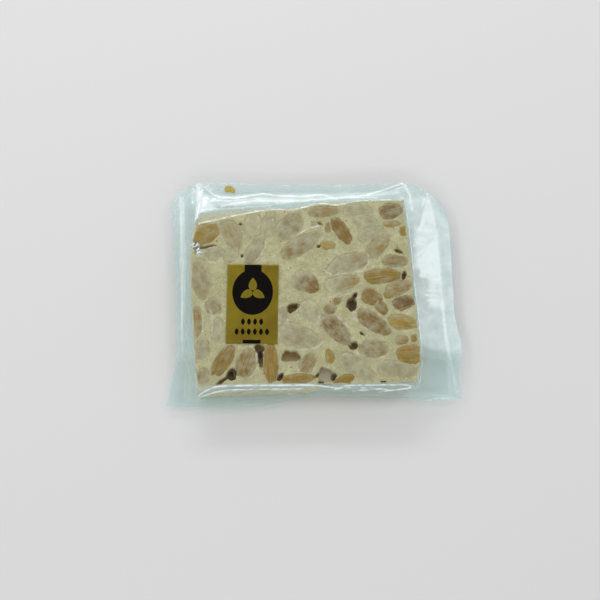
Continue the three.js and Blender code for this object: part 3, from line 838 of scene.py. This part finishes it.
def slab_points(sizes):
    """The nougat slab as a closed body: its top face on a fitted grid, its sides as rings from the worn top
    edge over the shoulder to the foot, and its underside as rings that shrink to the middle. Gives its points
    and faces, how much painted shade each point gets in a pit, and how much a buried almond shades it."""
    cells = (sizes.slab_cells, round(sizes.slab_cells * SIDE_CELLS))
    edge, shoulder, foot = slab_rings(cells)
    edge = at_height(edge, THICKNESS - EDGE_DROP - SLACK[0])
    shoulder = shoulder - (0, 0, SLACK[1])
    top = fitted_grid(drawn_in(edge, EDGE_ROUND, cells), cells)
    top[..., 2], pit, shade = slab_height(top, sizes)

    rings = rounded_over(grid_edge(top), edge, 4) + between(edge, shoulder, 7)
    rings += between(shoulder, at_height(foot, FOOT_HEIGHT), 12)
    sole = drawn_in(foot, FOOT_INSET, cells)
    rings += [
        at_height(mix(rings[-1], sole, 1 - math.cos(a)), mix(FOOT_HEIGHT, SOLE, math.sin(a)))
        for a in np.linspace(0, math.pi / 2, 5)[1:]
    ]
    stack = np.array(rings)
    dent = 0.3 * (0.3 + grain(stack, 8, 21)) + 0.2 * grain(stack, 3, 22)
    fade = smooth(np.arange(len(stack)) / 5)[:, None, None]
    stack -= outward(shoulder)[None] * np.clip(dent[..., None], 0, 1.2) * fade
    stack[..., 1] += undercut(stack)

    middle = np.array([[*UNDER_MIDDLE, SOLE]])
    under = np.array([mix(stack[-1], middle, s) for s in np.linspace(0, 1, 20, endpoint=False)[1:]])
    under[..., 2] = SOLE + np.clip(0.1 + 0.1 * grain(under, 7, 23) + 0.05 * grain(under, 2.5, 24), 0, 1)
    points, quads, fan = closed_body(top, [*stack, *under], middle)
    rest = (0, len(points) - pit.size)
    return points, quads, fan, np.pad(pit.ravel(), rest), np.pad(shade.ravel(), rest)


class TURRON_OT_nougat(bpy.types.Operator):
    """Adds the nougat slab"""

    bl_idname = "turron.nougat"
    bl_label = "Nougat slab"

    def execute(self, context):
        points, quads, fan, pit, shade = slab_points(context.scene.turron_sizes)
        slab = add_piece("nougat_slab", points, quads, fan, pit=pit, shade=shade)
        finish_piece(slab, nougat_material(context.scene.turron_colours), "nougat", "pack")
        return {"FINISHED"}


# ---------------- the almonds


def almond_points(half, centre, axes, turns, seed):
    """One almond: an ellipsoid with a flattened top and bottom, r = sqrt(sin a) and z = cos a over the
    angle a from top to bottom, narrower towards its point and finely ribbed. `half` gives its half
    sizes, and the rows of `axes` the directions of its length, width and thickness. Gives the points and
    a pair of coordinates in cm on its length and width, for the skin's ribs."""
    rows, columns = turns
    draw = np.random.default_rng(seed)
    a = np.linspace(0, math.pi, rows + 1)[1:-1, None]
    b = np.linspace(0, 2 * math.pi, columns, endpoint=False)[None]
    lumps = 1 + 0.012 * np.sin(9 * b + draw.uniform(0, 6)) + 0.02 * np.sin(3 * b + draw.uniform(0, 6))
    reach = np.sqrt(np.sin(a)) * lumps
    along, across = (reach * np.sign(f) * np.abs(f) ** (2 / PLUMP) for f in (np.cos(b), np.sin(b)))
    local = np.stack([along, across * (1 - EGG * along), np.cos(a) * np.ones_like(b)], -1)
    local = np.vstack([[[0, 0, 1]], local.reshape(-1, 3), [[0, 0, -1]]]) * half
    local[:, 2] += 0.05 * grain(local[:, :2], 2.2, seed + 5)
    return centre + local @ axes, local[:, :2][:, ::-1] / 10 + draw.uniform(0, 40, 2)


def almond_faces(turns):
    """The four-cornered faces between an almond's rows and the three-cornered ones at its two poles."""
    rows, columns = turns[0] - 1, turns[1]
    index = 1 + np.arange(rows * columns).reshape(rows, columns)
    side = np.roll(index, -1, 1)
    quads = np.stack([index[:-1], index[1:], side[1:], side[:-1]], -1).reshape(-1, 4)
    top = np.stack([np.zeros(columns, int), index[0], side[0]], 1)
    bottom = np.stack([index[-1], np.full(columns, rows * columns + 1), side[-1]], 1)
    return quads, np.vstack([top, bottom])


def cut_to_slab(points):
    """Presses points that stand outside the slab's sides back onto them, as the knife leaves an almond.
    Gives the points, and how far each was moved in mm."""
    cells = (120, 104)
    edge, shoulder, foot = slab_rings(cells)
    edge = at_height(edge, THICKNESS - EDGE_DROP)
    levels = [at_height(drawn_in(foot, FOOT_INSET, cells), 0.0), at_height(foot, FOOT_HEIGHT), shoulder, edge]
    levels.append(at_height(drawn_in(edge, EDGE_ROUND, cells), THICKNESS + 1))
    near = np.linalg.norm(points[:, None, :2] - shoulder[None, :, :2], axis=-1).argmin(1)
    side = levels[0][near]
    for low, high in zip(levels[:-1], levels[1:]):
        share = ((points[:, 2] - low[near, 2]) / (high[near, 2] - low[near, 2]))[:, None]
        side = np.where(share > 0, mix(low[near], high[near], np.clip(share, 0, 1)), side)
    side[:, 1] += undercut(np.column_stack([side[:, :2], points[:, 2]]))
    out = outward(shoulder)[near]
    excess = np.clip(((points - side) * out)[:, :2].sum(1) + 0.08, 0, None)
    return points - out * excess[:, None], excess


def add_almonds(name, nuts, turns, colours):
    """Joins almonds to one piece. Each is (half sizes, centre, axes, tone, veil, lean). Stores how brown,
    how veiled, how near its rim and how cut off each point is, and sinks a rim that hangs over a pit."""
    faces = almond_faces(turns)
    bodies, pairs, looks = [], [], []
    for k, (half, centre, axes, tone, veil, lean) in enumerate(nuts):
        where, uv = almond_points(half, centre, axes, turns, 100 + 7 * k)
        along, across = ((where - centre) @ axes[n] / half[n] for n in (0, 1))
        reach = np.hypot(along, across)
        hidden = smooth((reach - 0.74) / 0.06) * smooth((where[:, 2] - 8) / 3)
        where[:, 2] -= 4 * hidden * in_pit(where)
        rim = smooth((reach / SHOWS - 0.76 + 0.1 * grain(where[:, :2], 2.6, 33)) / 0.3)
        where, moved = cut_to_slab(where)
        bodies.append((where, *faces))
        pairs.append(uv)
        veiled = np.clip(veil + lean * along, 0, 1.1)
        looks.append((np.full(len(where), tone), veiled, (0.1 + 0.55 * veil) * rim, smooth(moved / 0.6)))
    tone, veil, rim, cut = (np.concatenate(values) for values in zip(*looks))
    piece = add_piece(name, *joined(bodies), uv=np.vstack(pairs), tone=tone, veil=veil, rim=rim, cut=cut)
    finish_piece(piece, almond_material(colours), "almond")


def level_axes(turn):
    """The length, width and upward directions of an almond that lies flat, its length turned in degrees."""
    c, s = turned(1.0, 0.0, turn)
    return np.array([[c, s, 0], [-s, c, 0], [0, 0, 1]])


def crown_height(x, y, width, veil, sizes):
    """The height of a top almond's crown, which stands less over the nougat if the almond is small or
    buried, and half the almond's thickness."""
    rise = sizes.almond_rise * (1 - 0.5 * veil) * min(1, width / 8)
    return THICKNESS - 2 * sizes.film_lift + sag(x, y) + rise, min(ALMOND_HALF, 0.42 * width)


def top_nuts(sizes):
    """The almonds of the top face, each sunk so that its top stands just clear of the nougat."""
    nuts = []
    for x, y, length, width, turn, tone, veil, lean in ALMONDS:
        crown, thick = crown_height(x, y, width, veil, sizes)
        half = (length / 2 / SHOWS, width / 2 / SHOWS, thick)
        nuts.append((half, (x, y, crown - thick), level_axes(turn), tone, veil, lean))
    return nuts


def side_nuts():
    """Seeded almonds cut flush with the slab's sides, and one more that lies along its front."""
    draw = np.random.default_rng(5)
    _, high, low = slab_rings((60, 52))
    out = outward(high)
    nuts = []
    for k in range(0, len(low), 6):
        where = mix(low, at_height(high, THICKNESS), draw.uniform(0.4, 0.6))[k]
        run = np.array([-out[k][1], out[k][0], 0.0])
        tilt = math.radians(draw.uniform(-22, 22))
        length_way = run * math.cos(tilt) + np.array([0, 0, 1.0]) * math.sin(tilt)
        axes = np.array([length_way, np.cross(out[k], length_way), out[k]])
        half = (draw.uniform(6, 9), draw.uniform(2.6, 3.8), 2.5)
        tone, veil = draw.uniform(0.2, 0.9), draw.uniform(0.1, 0.7)
        nuts.append((half, where - out[k] * (half[2] + 0.3), axes, tone, veil, 0.0))
    on_edge = np.array([[1.0, 0, 0], [0, 0, 1.0], [0, -1.0, 0]])
    nuts.append(((7.5, 3.2, 2.5), (-5.0, -45.4, 10.5), on_edge, 0.3, 0.4, 0.0))
    return nuts


def base_nuts():
    """Seeded almonds pressed flat into the slab's underside."""
    draw = np.random.default_rng(8)
    nuts = []
    for x in np.arange(-46, 56, 15.0):
        for y in np.arange(-38, 50, 14.0):
            place = (x + draw.uniform(-3, 3), y + draw.uniform(-3, 3), 2.5)
            axes = level_axes(draw.uniform(0, 180))
            half = (draw.uniform(10, 13.5), draw.uniform(5.2, 7.2), 2.4)
            nuts.append((half, place, axes, draw.uniform(0.2, 0.9), draw.uniform(0.1, 0.8), 0.0))
    return nuts


class TURRON_OT_almonds(bpy.types.Operator):
    """Adds the almonds that show on the top, the sides and the underside"""

    bl_idname = "turron.almonds"
    bl_label = "Almonds"

    def execute(self, context):
        colours = context.scene.turron_colours
        add_almonds("almonds_top", top_nuts(context.scene.turron_sizes), (22, 36), colours)
        add_almonds("almonds_sides", side_nuts(), (14, 24), colours)
        add_almonds("almonds_underside", base_nuts(), (12, 20), colours)
        return {"FINISHED"}


# ---------------- the film


def crumpled(points):
    """The lift in mm and the painted silvery highlight of the crumpled spot at the slab's left edge: both
    highest along the lines where a seeded unevenness crosses zero, as sharp folds lie."""
    share = smooth((1.15 - in_oval(points, CRINKLE)) / 0.3)
    folds = np.abs(grain(points[..., :2], 2.2, 34))
    return share * (0.3 - 0.3 * folds), share * smooth((0.6 - folds) / 0.5)


def film_height(points, sizes):
    """Height of the film over the top face: the nougat and the almonds under a soft blur, which bridges
    the pits and rounds the lips, lifted clear of both and drawn flat under the label."""
    flat = points[..., :2]
    x, y = flat[..., 0], flat[..., 1]
    solid = np.maximum(slab_height(points, sizes)[0], THICKNESS - 0.45 + sag(x, y))
    for *oval, _, veil, _ in ALMONDS:
        reach = in_oval(flat, oval)
        crown, thick = crown_height(oval[0], oval[1], oval[3], veil, sizes)
        dome = crown - thick + thick * np.sqrt(np.clip(1 - (reach * SHOWS) ** 4, 0, 1))
        solid = np.maximum(solid, np.where(reach < 1.2, dome, 0))
    drape = np.maximum(blurred(solid, 1.6), solid * 0.7 + blurred(solid, 0.8) * 0.3) + sizes.film_lift
    drape += 0.03 * grain(flat, 4, 31)
    for white, line in TOP_LINES:
        drape += 0.3 * white * on_line(flat, line, TOP_LINE_WIDTH)
    drape += crumpled(points)[0]
    beside = (np.abs(x - LABEL["x"]) - LABEL["width"] / 2, np.abs(y - LABEL["y"]) - LABEL["depth"] / 2)
    return mix(LABEL_FACE - LABEL_PAPER - 0.06, drape, smooth(np.maximum(*beside) / 2.5 + 0.2))


def relief(points, seam):
    """Height of the film's creases, each a bell-shaped ridge along its line, and of the one where its fin
    starts."""
    height = WELD[0] * np.exp(-((np.linalg.norm((points - seam)[..., :2], axis=-1) / WELD[1]) ** 2))
    for lift, width, line in CREASES:
        height += lift * on_line(points, line, width)
    return height


def surface_normals(stack):
    """Outward unit normals of rings stacked from the top down: the steps from ring to ring, crossed with
    the steps round each ring."""
    normal = np.cross(np.gradient(stack, axis=0), np.roll(stack, -1, 1) - np.roll(stack, 1, 1))
    return normal / np.maximum(np.linalg.norm(normal, axis=-1, keepdims=True), 1e-9)


def film_slope(first, edge, shoulder, seam, cells, sizes):
    """Rings of the film from the top face over its worn edge and its shoulder down to the seam. Below the
    shoulder it falls as (1 - s)^power over the level way s. It is wrinkled along its normals and creased."""
    power = mix(SLOPE_POWER, RIDGE_POWER, near_corner(cells))
    rings = rounded_over(first, edge, EDGE_TURNS) + between(edge, shoulder, EDGE_RINGS)
    for s in np.linspace(0, 1, SLOPE_RINGS + 1)[1:]:
        level = mix(seam[:, 2] + sizes.fin_gap / 2, shoulder[:, 2], (1 - s) ** power)
        rings.append(at_height(mix(shoulder, seam, s), level))
    slope = np.array(rings)
    count = np.arange(len(slope))[:, None]
    low = np.clip((count / (len(slope) - 1) - 0.25) / 0.75, 0, 1)
    swell = np.clip(np.sin(low * math.pi), 0, 1) * (1 - near_corner(cells))[None]
    stretched = slope * (1, 1, 0.3)
    wrinkle = grain(stretched, 7, 43) * 0.6 + grain(stretched, 3.5, 44) * 0.3
    slope += surface_normals(slope) * (sizes.wrinkle * wrinkle * swell)[..., None]
    slope[..., 2] += relief(slope, seam) * smooth((count - EDGE_TURNS) / EDGE_RINGS) + crumpled(slope)[0]
    return slope


def film_fin(seam, rim, sizes):
    """Rings along the middle of the fin, from the seam out to its rim, with waves that grow outwards,
    three fine ribs along the left fin, the creases and the weld."""
    steps = np.linspace(0, 1, FIN_RINGS + 1)[1:]
    fin = np.array([mix(seam, rim, s) for s in steps])
    wave = 0.6 * grain(fin[..., :2], 17, 41) + 0.3 * grain(fin[..., :2], 6, 42)
    fin[..., 2] += sizes.fin_wave * wave * smooth(steps)[:, None]
    fin[..., 2] += 0.08 * np.sin(steps * 3 * 2 * math.pi)[:, None] * smooth((-40 - fin[..., 0]) / 10)
    fin[..., 2] += relief(fin, seam)
    return fin


def as_seen(points):
    """Where points appear on the level of the top face, from the front and high up: FRONT_LOOK further to
    the front for each mm that they lie below it."""
    return points[..., :2] + np.stack([0 * points[..., 2], (points[..., 2] - THICKNESS) * FRONT_LOOK], -1)


def broken(points):
    """How strong a glint is at a point, between 0.25 and 1.3, as the film's unevenness breaks it up."""
    return np.clip(0.75 + 0.5 * grain(points, 5, 45), 0.25, 1.3)


def top_looks(top, back):
    """How much painted highlight and painted glint the film has over the top face: a painted silvery
    highlight in the crumpled spot and painted pale light over two pits, and painted cream glints along its
    fine creases and its back edge."""
    # Painted silvery highlight in the crumpled spot, and painted pale light over two pits.
    milk_and_highlight = crumpled(top)[1]
    for share, *oval in PIT_PAINTED_LIGHT:
        milk_and_highlight += share * smooth((1.15 - in_oval(top, oval)) / 0.6)
    # Painted cream glints along the back edge and along the fine creases.
    glint = broken(top) * on_line(as_seen(top), back, GLINT_WIDTH)
    gaps = smooth(0.6 + 0.5 * grain(top[..., :2], 4, 46))
    for share, line in TOP_LINES:
        glint += TOP_LINE_HIGHLIGHT * share * gaps * on_line(top, line, TOP_LINE_WIDTH)
    return milk_and_highlight, glint


def outer_looks(outside, slopes, back, cells):
    """How milky the film is outside the top face, ring by ring, and how much painted glint it has: a slight
    milkiness all over and at the weld, painted paler behind DIM_BELOW, painted highlights in its patches, on
    its creases, along the top's edges and its shoulder and along the glints of its front, and a painted glint
    along the back edge."""
    count = np.arange(len(outside))
    away = smooth((count - EDGE_TURNS) / EDGE_RINGS)[:, None]
    strength = broken(outside)
    # A slight milkiness all over, and painted reflection: paler behind DIM_BELOW.
    milk_and_highlight = 0.1 + 0.15 * smooth((outside[..., 1] - DIM_BELOW) / 2) * away
    # Painted highlights: white patches, and white along the creases.
    for share, soft, corners in HIGHLIGHT_PATCHES:
        milk_and_highlight += share * within(outside, corners, soft) * away
    for lift, width, line in CREASES:
        milk_and_highlight += abs(lift) * on_line(outside, line, width + 0.1) * away
    milk_and_highlight[slopes - 2 : slopes + 1] += 0.1
    # Painted highlights along the top's worn edges and along the shoulder below them.
    worn, last = slice(2, 5), EDGE_TURNS - 1 + EDGE_RINGS
    milk_and_highlight[worn] += np.repeat(EDGE_HIGHLIGHT, cells * 2) * strength[worn]
    milk_and_highlight[last] += np.repeat(SHOULDER_HIGHLIGHT, cells * 2) * strength[last]
    # Painted pale light along the film's front, less on the right, and painted glints along its front lines.
    front = smooth((-43.5 - outside[..., 1]) / 1.5)
    upper = smooth((last - count) / 4)[:, None]
    milk_and_highlight += 0.22 * front * upper * (1 - 0.6 * smooth(outside[..., 0] / 12))
    seen = as_seen(outside)
    for share, line in FRONT_LINES:
        milk_and_highlight += share * front * strength * on_line(seen, line, GLINT_WIDTH)
    # The crumpled spot's painted silvery highlight, and the painted glint along the back edge.
    milk_and_highlight += crumpled(outside)[1]
    return milk_and_highlight, strength * on_line(seen, back, GLINT_WIDTH)


def film_points(sizes):
    """The film as one closed skin: over the top face, round its edge, down the slopes to the seam, out over
    the fin and back under it, in under the slab and across its underside. Gives its points and faces, how
    milky each point is with its painted highlights, and how much painted glint it has."""
    cells = (sizes.film_cells, round(sizes.film_cells * SIDE_CELLS))
    edge = at_height(ring(TOP_EDGE, cells), THICKNESS - EDGE_DROP)
    shoulder, seam, rim, foot = (ring(line, cells) for line in (SHOULDER, SEAM, RIM, FOOT))
    sole = at_height(drawn_in(foot, FOOT_INSET, cells), 0)
    top = fitted_grid(drawn_in(edge, EDGE_ROUND, cells), cells)
    top[..., 2] = film_height(top, sizes)

    slope = film_slope(grid_edge(top), edge, shoulder, seam, cells, sizes)
    fin = film_fin(seam, rim, sizes)
    half = np.array([0, 0, sizes.fin_gap / 2])
    below = [
        at_height(mix(sole, seam, s), (seam[:, 2] - sizes.fin_gap / 2) * s**UNDER_POWER)
        for s in np.linspace(1, 0, UNDER_RINGS + 1)[1:]
    ]
    middle = np.array([[*UNDER_MIDDLE, 0.0]])
    across = [mix(below[-1], middle, s) for s in (0.25, 0.5, 0.75)]
    outside = np.array([*slope, *(fin + half)])
    rings = [*outside, *(fin[::-1] - half), seam - half, *below, *across]
    points, quads, fan = closed_body(top, rings, middle)

    back = as_seen(edge[sum(cells) : sum(cells) + cells[0] + 1 : 4])
    looks = []
    for over, around in zip(top_looks(top, back), outer_looks(outside, len(slope), back, cells)):
        values = np.clip(np.concatenate([over.ravel(), around.ravel()]), 0, 1)
        looks.append(np.pad(values, (0, len(points) - len(values))))
    return points, quads, fan, *looks


class TURRON_OT_film(bpy.types.Operator):
    """Adds the clear film"""

    bl_idname = "turron.film"
    bl_label = "Film"

    def execute(self, context):
        points, quads, fan, haze, glint = film_points(context.scene.turron_sizes)
        film = add_piece("vacuum_film", points, quads, fan, haze=haze, glint=glint)
        finish_piece(film, film_material(context.scene.turron_colours), "film", "pack")
        return {"FINISHED"}


# ---------------- the label


def label_place(local):
    """Points on the label, in mm from its middle with their height over its printed face, set in the
    drawing: turned with the label and laid on its slow waves."""
    x, y = turned(local[..., 0], local[..., 1], LABEL["turn"])
    x, y = LABEL["x"] + x, LABEL["y"] + y
    wave = 0.008 * grain(np.stack([x, y], -1), 22, 61)
    return np.stack([x, y, LABEL_FACE + local[..., 2] + wave], -1)


def thin_plate(outline, level):
    """The points and faces of a thin plate on the label, from its outline (mm from the label's middle, and
    seen whole from its own middle) and the level of its top over the printed face."""
    count = len(outline)
    centre = outline.mean(0)[None]
    low = level - PRINT_THICKNESS
    parts = ((outline, level), (outline, low), (centre, level), (centre, low))
    points = np.vstack([at_height(where, z) for where, z in parts])
    k = np.arange(count)
    after = np.roll(k, -1)
    quads = np.stack([k, k + count, after + count, after], 1)
    top = np.stack([np.full(count, 2 * count), k, after], 1)
    bottom = np.stack([np.full(count, 2 * count + 1), after + count, k + count], 1)
    return label_place(points), quads, np.vstack([top, bottom])


def oval_outline(x, y, width, depth, point=2.0):
    """An oval outline: |x|^point + |y|^point = 1, so 2 is an ellipse and less has sharper ends."""
    a = np.linspace(0, 2 * math.pi, 48, endpoint=False)
    px, py = (np.sign(f) * np.abs(f) ** (2 / point) for f in (np.cos(a), np.sin(a)))
    return np.stack([x + px * width / 2, y + py * depth / 2], 1)


def bar_outline(x, y, width, depth):
    """A straight-sided bar, with points along it so that it can follow the label's waves."""
    run = np.linspace(-width / 2, width / 2, 12)
    low, high = np.full(12, y - depth / 2), np.full(12, y + depth / 2)
    return np.vstack([np.stack([x + run, low], 1), np.stack([x + run[::-1], high], 1)])


def nut_outline(x, y, length, width, turn):
    """A plain almond outline, round at the foot and pointed at the tip: its width follows the sine, less
    35% towards the tip, where it also closes with the root of 1 - along^3."""
    a = np.linspace(0, 2 * math.pi, 32, endpoint=False)
    along = np.cos(a)
    side = np.sin(a) * (1 - 0.35 * along) * np.sqrt(np.clip(1 - np.clip(along, 0, 1) ** 3, 0.02, 1))
    px, py = turned(along * length / 2, side * width / 2, turn)
    return np.stack([x + px, y + py], 1)


def add_plates(name, plates, material):
    """Joins thin plates, each an outline and a level over the printed face, to one piece of print."""
    piece = add_piece(name, *joined([thin_plate(outline, level) for outline, level in plates]))
    piece.data.polygons.foreach_set("use_smooth", np.zeros(len(piece.data.polygons), bool))
    finish_piece(piece, material, "gold_label")


class TURRON_OT_label(bpy.types.Operator):
    """Adds the gold paper label"""

    bl_idname = "turron.label"
    bl_label = "Label"

    def execute(self, context):
        cells = (54, 88)
        w, d = LABEL["width"] / 2, LABEL["depth"] / 2
        edge = ring([[(-w, -d)], [(w, -d)], [(w, d)], [(-w, d)]], cells)
        low = edge - (0, 0, LABEL_PAPER)
        points, quads, fan = closed_body(fitted_grid(edge, cells), [low], np.array([[0, 0, -LABEL_PAPER]]))
        label = add_piece("gold_label", label_place(points), quads, fan)
        finish_piece(label, gold_paper_material(context.scene.turron_colours), "gold_label", "label")
        return {"FINISHED"}


class TURRON_OT_print(bpy.types.Operator):
    """Adds the label's plain print: a dark oval with three almonds, two rows of marks and two bars"""

    bl_idname = "turron.print"
    bl_label = "Label print"

    def execute(self, context):
        colours = context.scene.turron_colours
        ink, gilt = 0.02, 0.06  # their levels over the label's face
        x, y = 0.0, 6.6  # the oval's middle
        black = [(oval_outline(x, y, 21.6, 25.4), ink)]
        black += [(bar_outline(0, -20.9, 9.4, 2.0), ink), (bar_outline(0, 19.95, 9.0, 3.9), ink - 0.006)]
        for level, places in ((-9.9, np.arange(-1.5, 2)), (-15.4, np.arange(-2.5, 3))):
            black += [(oval_outline(place * 3.2, level, 2.1, 3.6, 1.5), ink) for place in places]
        add_plates("label_print", black, ink_material(colours))
        gold = []
        for turn in (90, 210, 330):
            out, up = turned(3.9, 0.0, turn)
            gold.append((nut_outline(x + out, y + 0.6 + up, 7.0, 4.2, turn), gilt))
        add_plates("label_gilding", gold, gold_paper_material(colours))
        return {"FINISHED"}


# ---------------- the crumb


class TURRON_OT_crumb(bpy.types.Operator):
    """Adds the crumb caught in the back fin"""

    bl_idname = "turron.crumb"
    bl_label = "Crumb"

    def execute(self, context):
        turns = (16, 26)
        bodies = []
        for centre, half, turn in (
            ((-39.2, 67.5, 6.9), (2.3, 1.8, 0.8), 15),
            ((-37.0, 66.4, 6.9), (1.7, 1.4, 0.7), -40),
        ):
            where, _ = almond_points(half, centre, level_axes(turn), turns, 77)
            where += 0.12 * np.stack([grain(where, 1.4, seed) for seed in (1, 2, 3)], -1)
            bodies.append((where, *almond_faces(turns)))
        crumb = add_piece("crumb", *joined(bodies))
        finish_piece(crumb, crumb_material(context.scene.turron_colours), "almond")
        return {"FINISHED"}


# ---------------- the stage


ELEVATION = 72.0  # the camera's height over the horizon, degrees
DISTANCE = 850.0  # from the middle of the top face, mm
MM_A_PIXEL = 0.53  # on the plane of the top face
SENSOR = 36.0  # the camera's own width of picture, mm
WALLS, CEILING = 0.75, 0.22  # how bright the room is low down and overhead
FLOOR = 3.0  # from the floor's middle to its edges, m

# Soft boxes: name, azimuth (0 in front, 90 right), elevation, distance in m, size in m, power in W, and
# whether the film mirrors it.
LAMPS = [
    ("light_back", 188, 30, 1.0, (0.8, 0.14), 2.6, True),
    ("light_right", 118, 50, 1.2, (0.4, 0.35), 2.2, False),
    ("light_front", -8, 34, 1.2, (0.9, 0.1), 2.2, False),
    ("light_left", -105, 48, 1.0, (0.3, 0.3), 1.4, False),
]


def aim(obj, place, target):
    """Places an object in metres and turns its -Z axis to a target."""
    way = np.array(target) - np.array(place)
    obj.location = place
    obj.rotation_euler = (math.atan2(math.hypot(way[0], way[1]), -way[2]), 0, math.atan2(-way[0], way[1]))


def add_lamp(target, name, azimuth, elevation, distance, size, power, mirrored):
    """A soft box that faces the target. Unless it is `mirrored`, it lights the pack but leaves no bright
    spot on the film."""
    lamp = bpy.data.lights.new(name, "AREA")
    lamp.shape = "RECTANGLE"
    lamp.size, lamp.size_y = size
    lamp.energy = power
    obj = bpy.data.objects.new(name, lamp)
    obj.visible_glossy = mirrored
    bpy.context.scene.collection.objects.link(obj)
    a, e = math.radians(azimuth), math.radians(elevation)
    way = np.array([math.sin(a) * math.cos(e), -math.cos(a) * math.cos(e), math.sin(e)])
    aim(obj, tuple(np.array(target) + way * distance), target)


def add_world(scene):
    """A white room whose ceiling, which the flat film mirrors, is dimmer than its walls."""
    scene.world = bpy.data.worlds.new("studio")
    scene.world.use_nodes = True
    tree = scene.world.node_tree
    tree.nodes.clear()
    up = add_node(tree, "SeparateXYZ", {0: add_node(tree, "TexCoord", {}, "Generated")}, "Z")
    room = {0: up, "From Min": 0.55, "From Max": 0.9, "To Min": WALLS, "To Max": CEILING}
    level = add_node(tree, "MapRange", room, interpolation_type="SMOOTHSTEP")
    light = add_node(tree, "Background", {"Color": (1, 1, 1, 1), "Strength": level})
    add_node(tree, "OutputWorld", {0: light})


class TURRON_OT_stage(bpy.types.Operator):
    """Adds the floor, the camera and the soft studio light"""

    bl_idname = "turron.stage"
    bl_label = "Stage"

    def execute(self, context):
        scene = context.scene
        mesh = bpy.data.meshes.new("floor")
        corners = [(-FLOOR, -FLOOR, 0), (FLOOR, -FLOOR, 0), (FLOOR, FLOOR, 0), (-FLOOR, FLOOR, 0)]
        mesh.from_pydata(corners, [], [(0, 1, 2, 3)])
        floor = bpy.data.objects.new("floor", mesh)
        floor.location.z = -0.0002
        scene.collection.objects.link(floor)
        mesh.materials.append(floor_material(scene.turron_colours))

        target = tuple(to_metres(np.array([0.0, 0.0, THICKNESS])))
        camera = bpy.data.objects.new("camera", bpy.data.cameras.new("camera"))
        scene.collection.objects.link(camera)
        back, up = turned(DISTANCE * MM, 0.0, ELEVATION)
        aim(camera, (target[0], target[1] - back, target[2] + up), target)
        camera.data.sensor_width = SENSOR
        camera.data.lens = SENSOR * DISTANCE / MM_A_PIXEL / IMAGE
        camera.data.clip_start = 0.01
        scene.camera = camera

        add_world(scene)
        for lamp in LAMPS:
            add_lamp(target, *lamp)
        scene.view_settings.view_transform = "Standard"
        return {"FINISHED"}


# ---------------- the add-on


class TURRON_PT_panel(bpy.types.Panel):
    """Lists the turron's pieces"""

    bl_idname = "TURRON_PT_panel"
    bl_label = "Turron"
    bl_space_type = "VIEW_3D"
    bl_region_type = "UI"
    bl_category = "Turron"

    def draw(self, context):
        for group in (context.scene.turron_sizes, context.scene.turron_colours):
            for key in group.__annotations__:
                self.layout.prop(group, key)
        for operator in OPERATORS:
            self.layout.operator(operator.bl_idname)


OPERATORS = (
    TURRON_OT_stage,
    TURRON_OT_nougat,
    TURRON_OT_almonds,
    TURRON_OT_film,
    TURRON_OT_label,
    TURRON_OT_print,
    TURRON_OT_crumb,
)
CLASSES = (TurronSizes, TurronColours, *OPERATORS, TURRON_PT_panel)


def register():
    """Registers the classes, and keeps the sizes and colours with the scene."""
    for cls in CLASSES:
        bpy.utils.register_class(cls)
    bpy.types.Scene.turron_sizes = PointerProperty(type=TurronSizes)
    bpy.types.Scene.turron_colours = PointerProperty(type=TurronColours)


def unregister():
    """Undoes what register() does."""
    del bpy.types.Scene.turron_sizes
    del bpy.types.Scene.turron_colours
    for cls in reversed(CLASSES):
        bpy.utils.unregister_class(cls)


def main():
    """Makes every piece through its operator."""
    register()
    for operator in OPERATORS:
        group, name = operator.bl_idname.split(".")
        getattr(getattr(bpy.ops, group), name)()


if __name__ == "__main__":
    main()
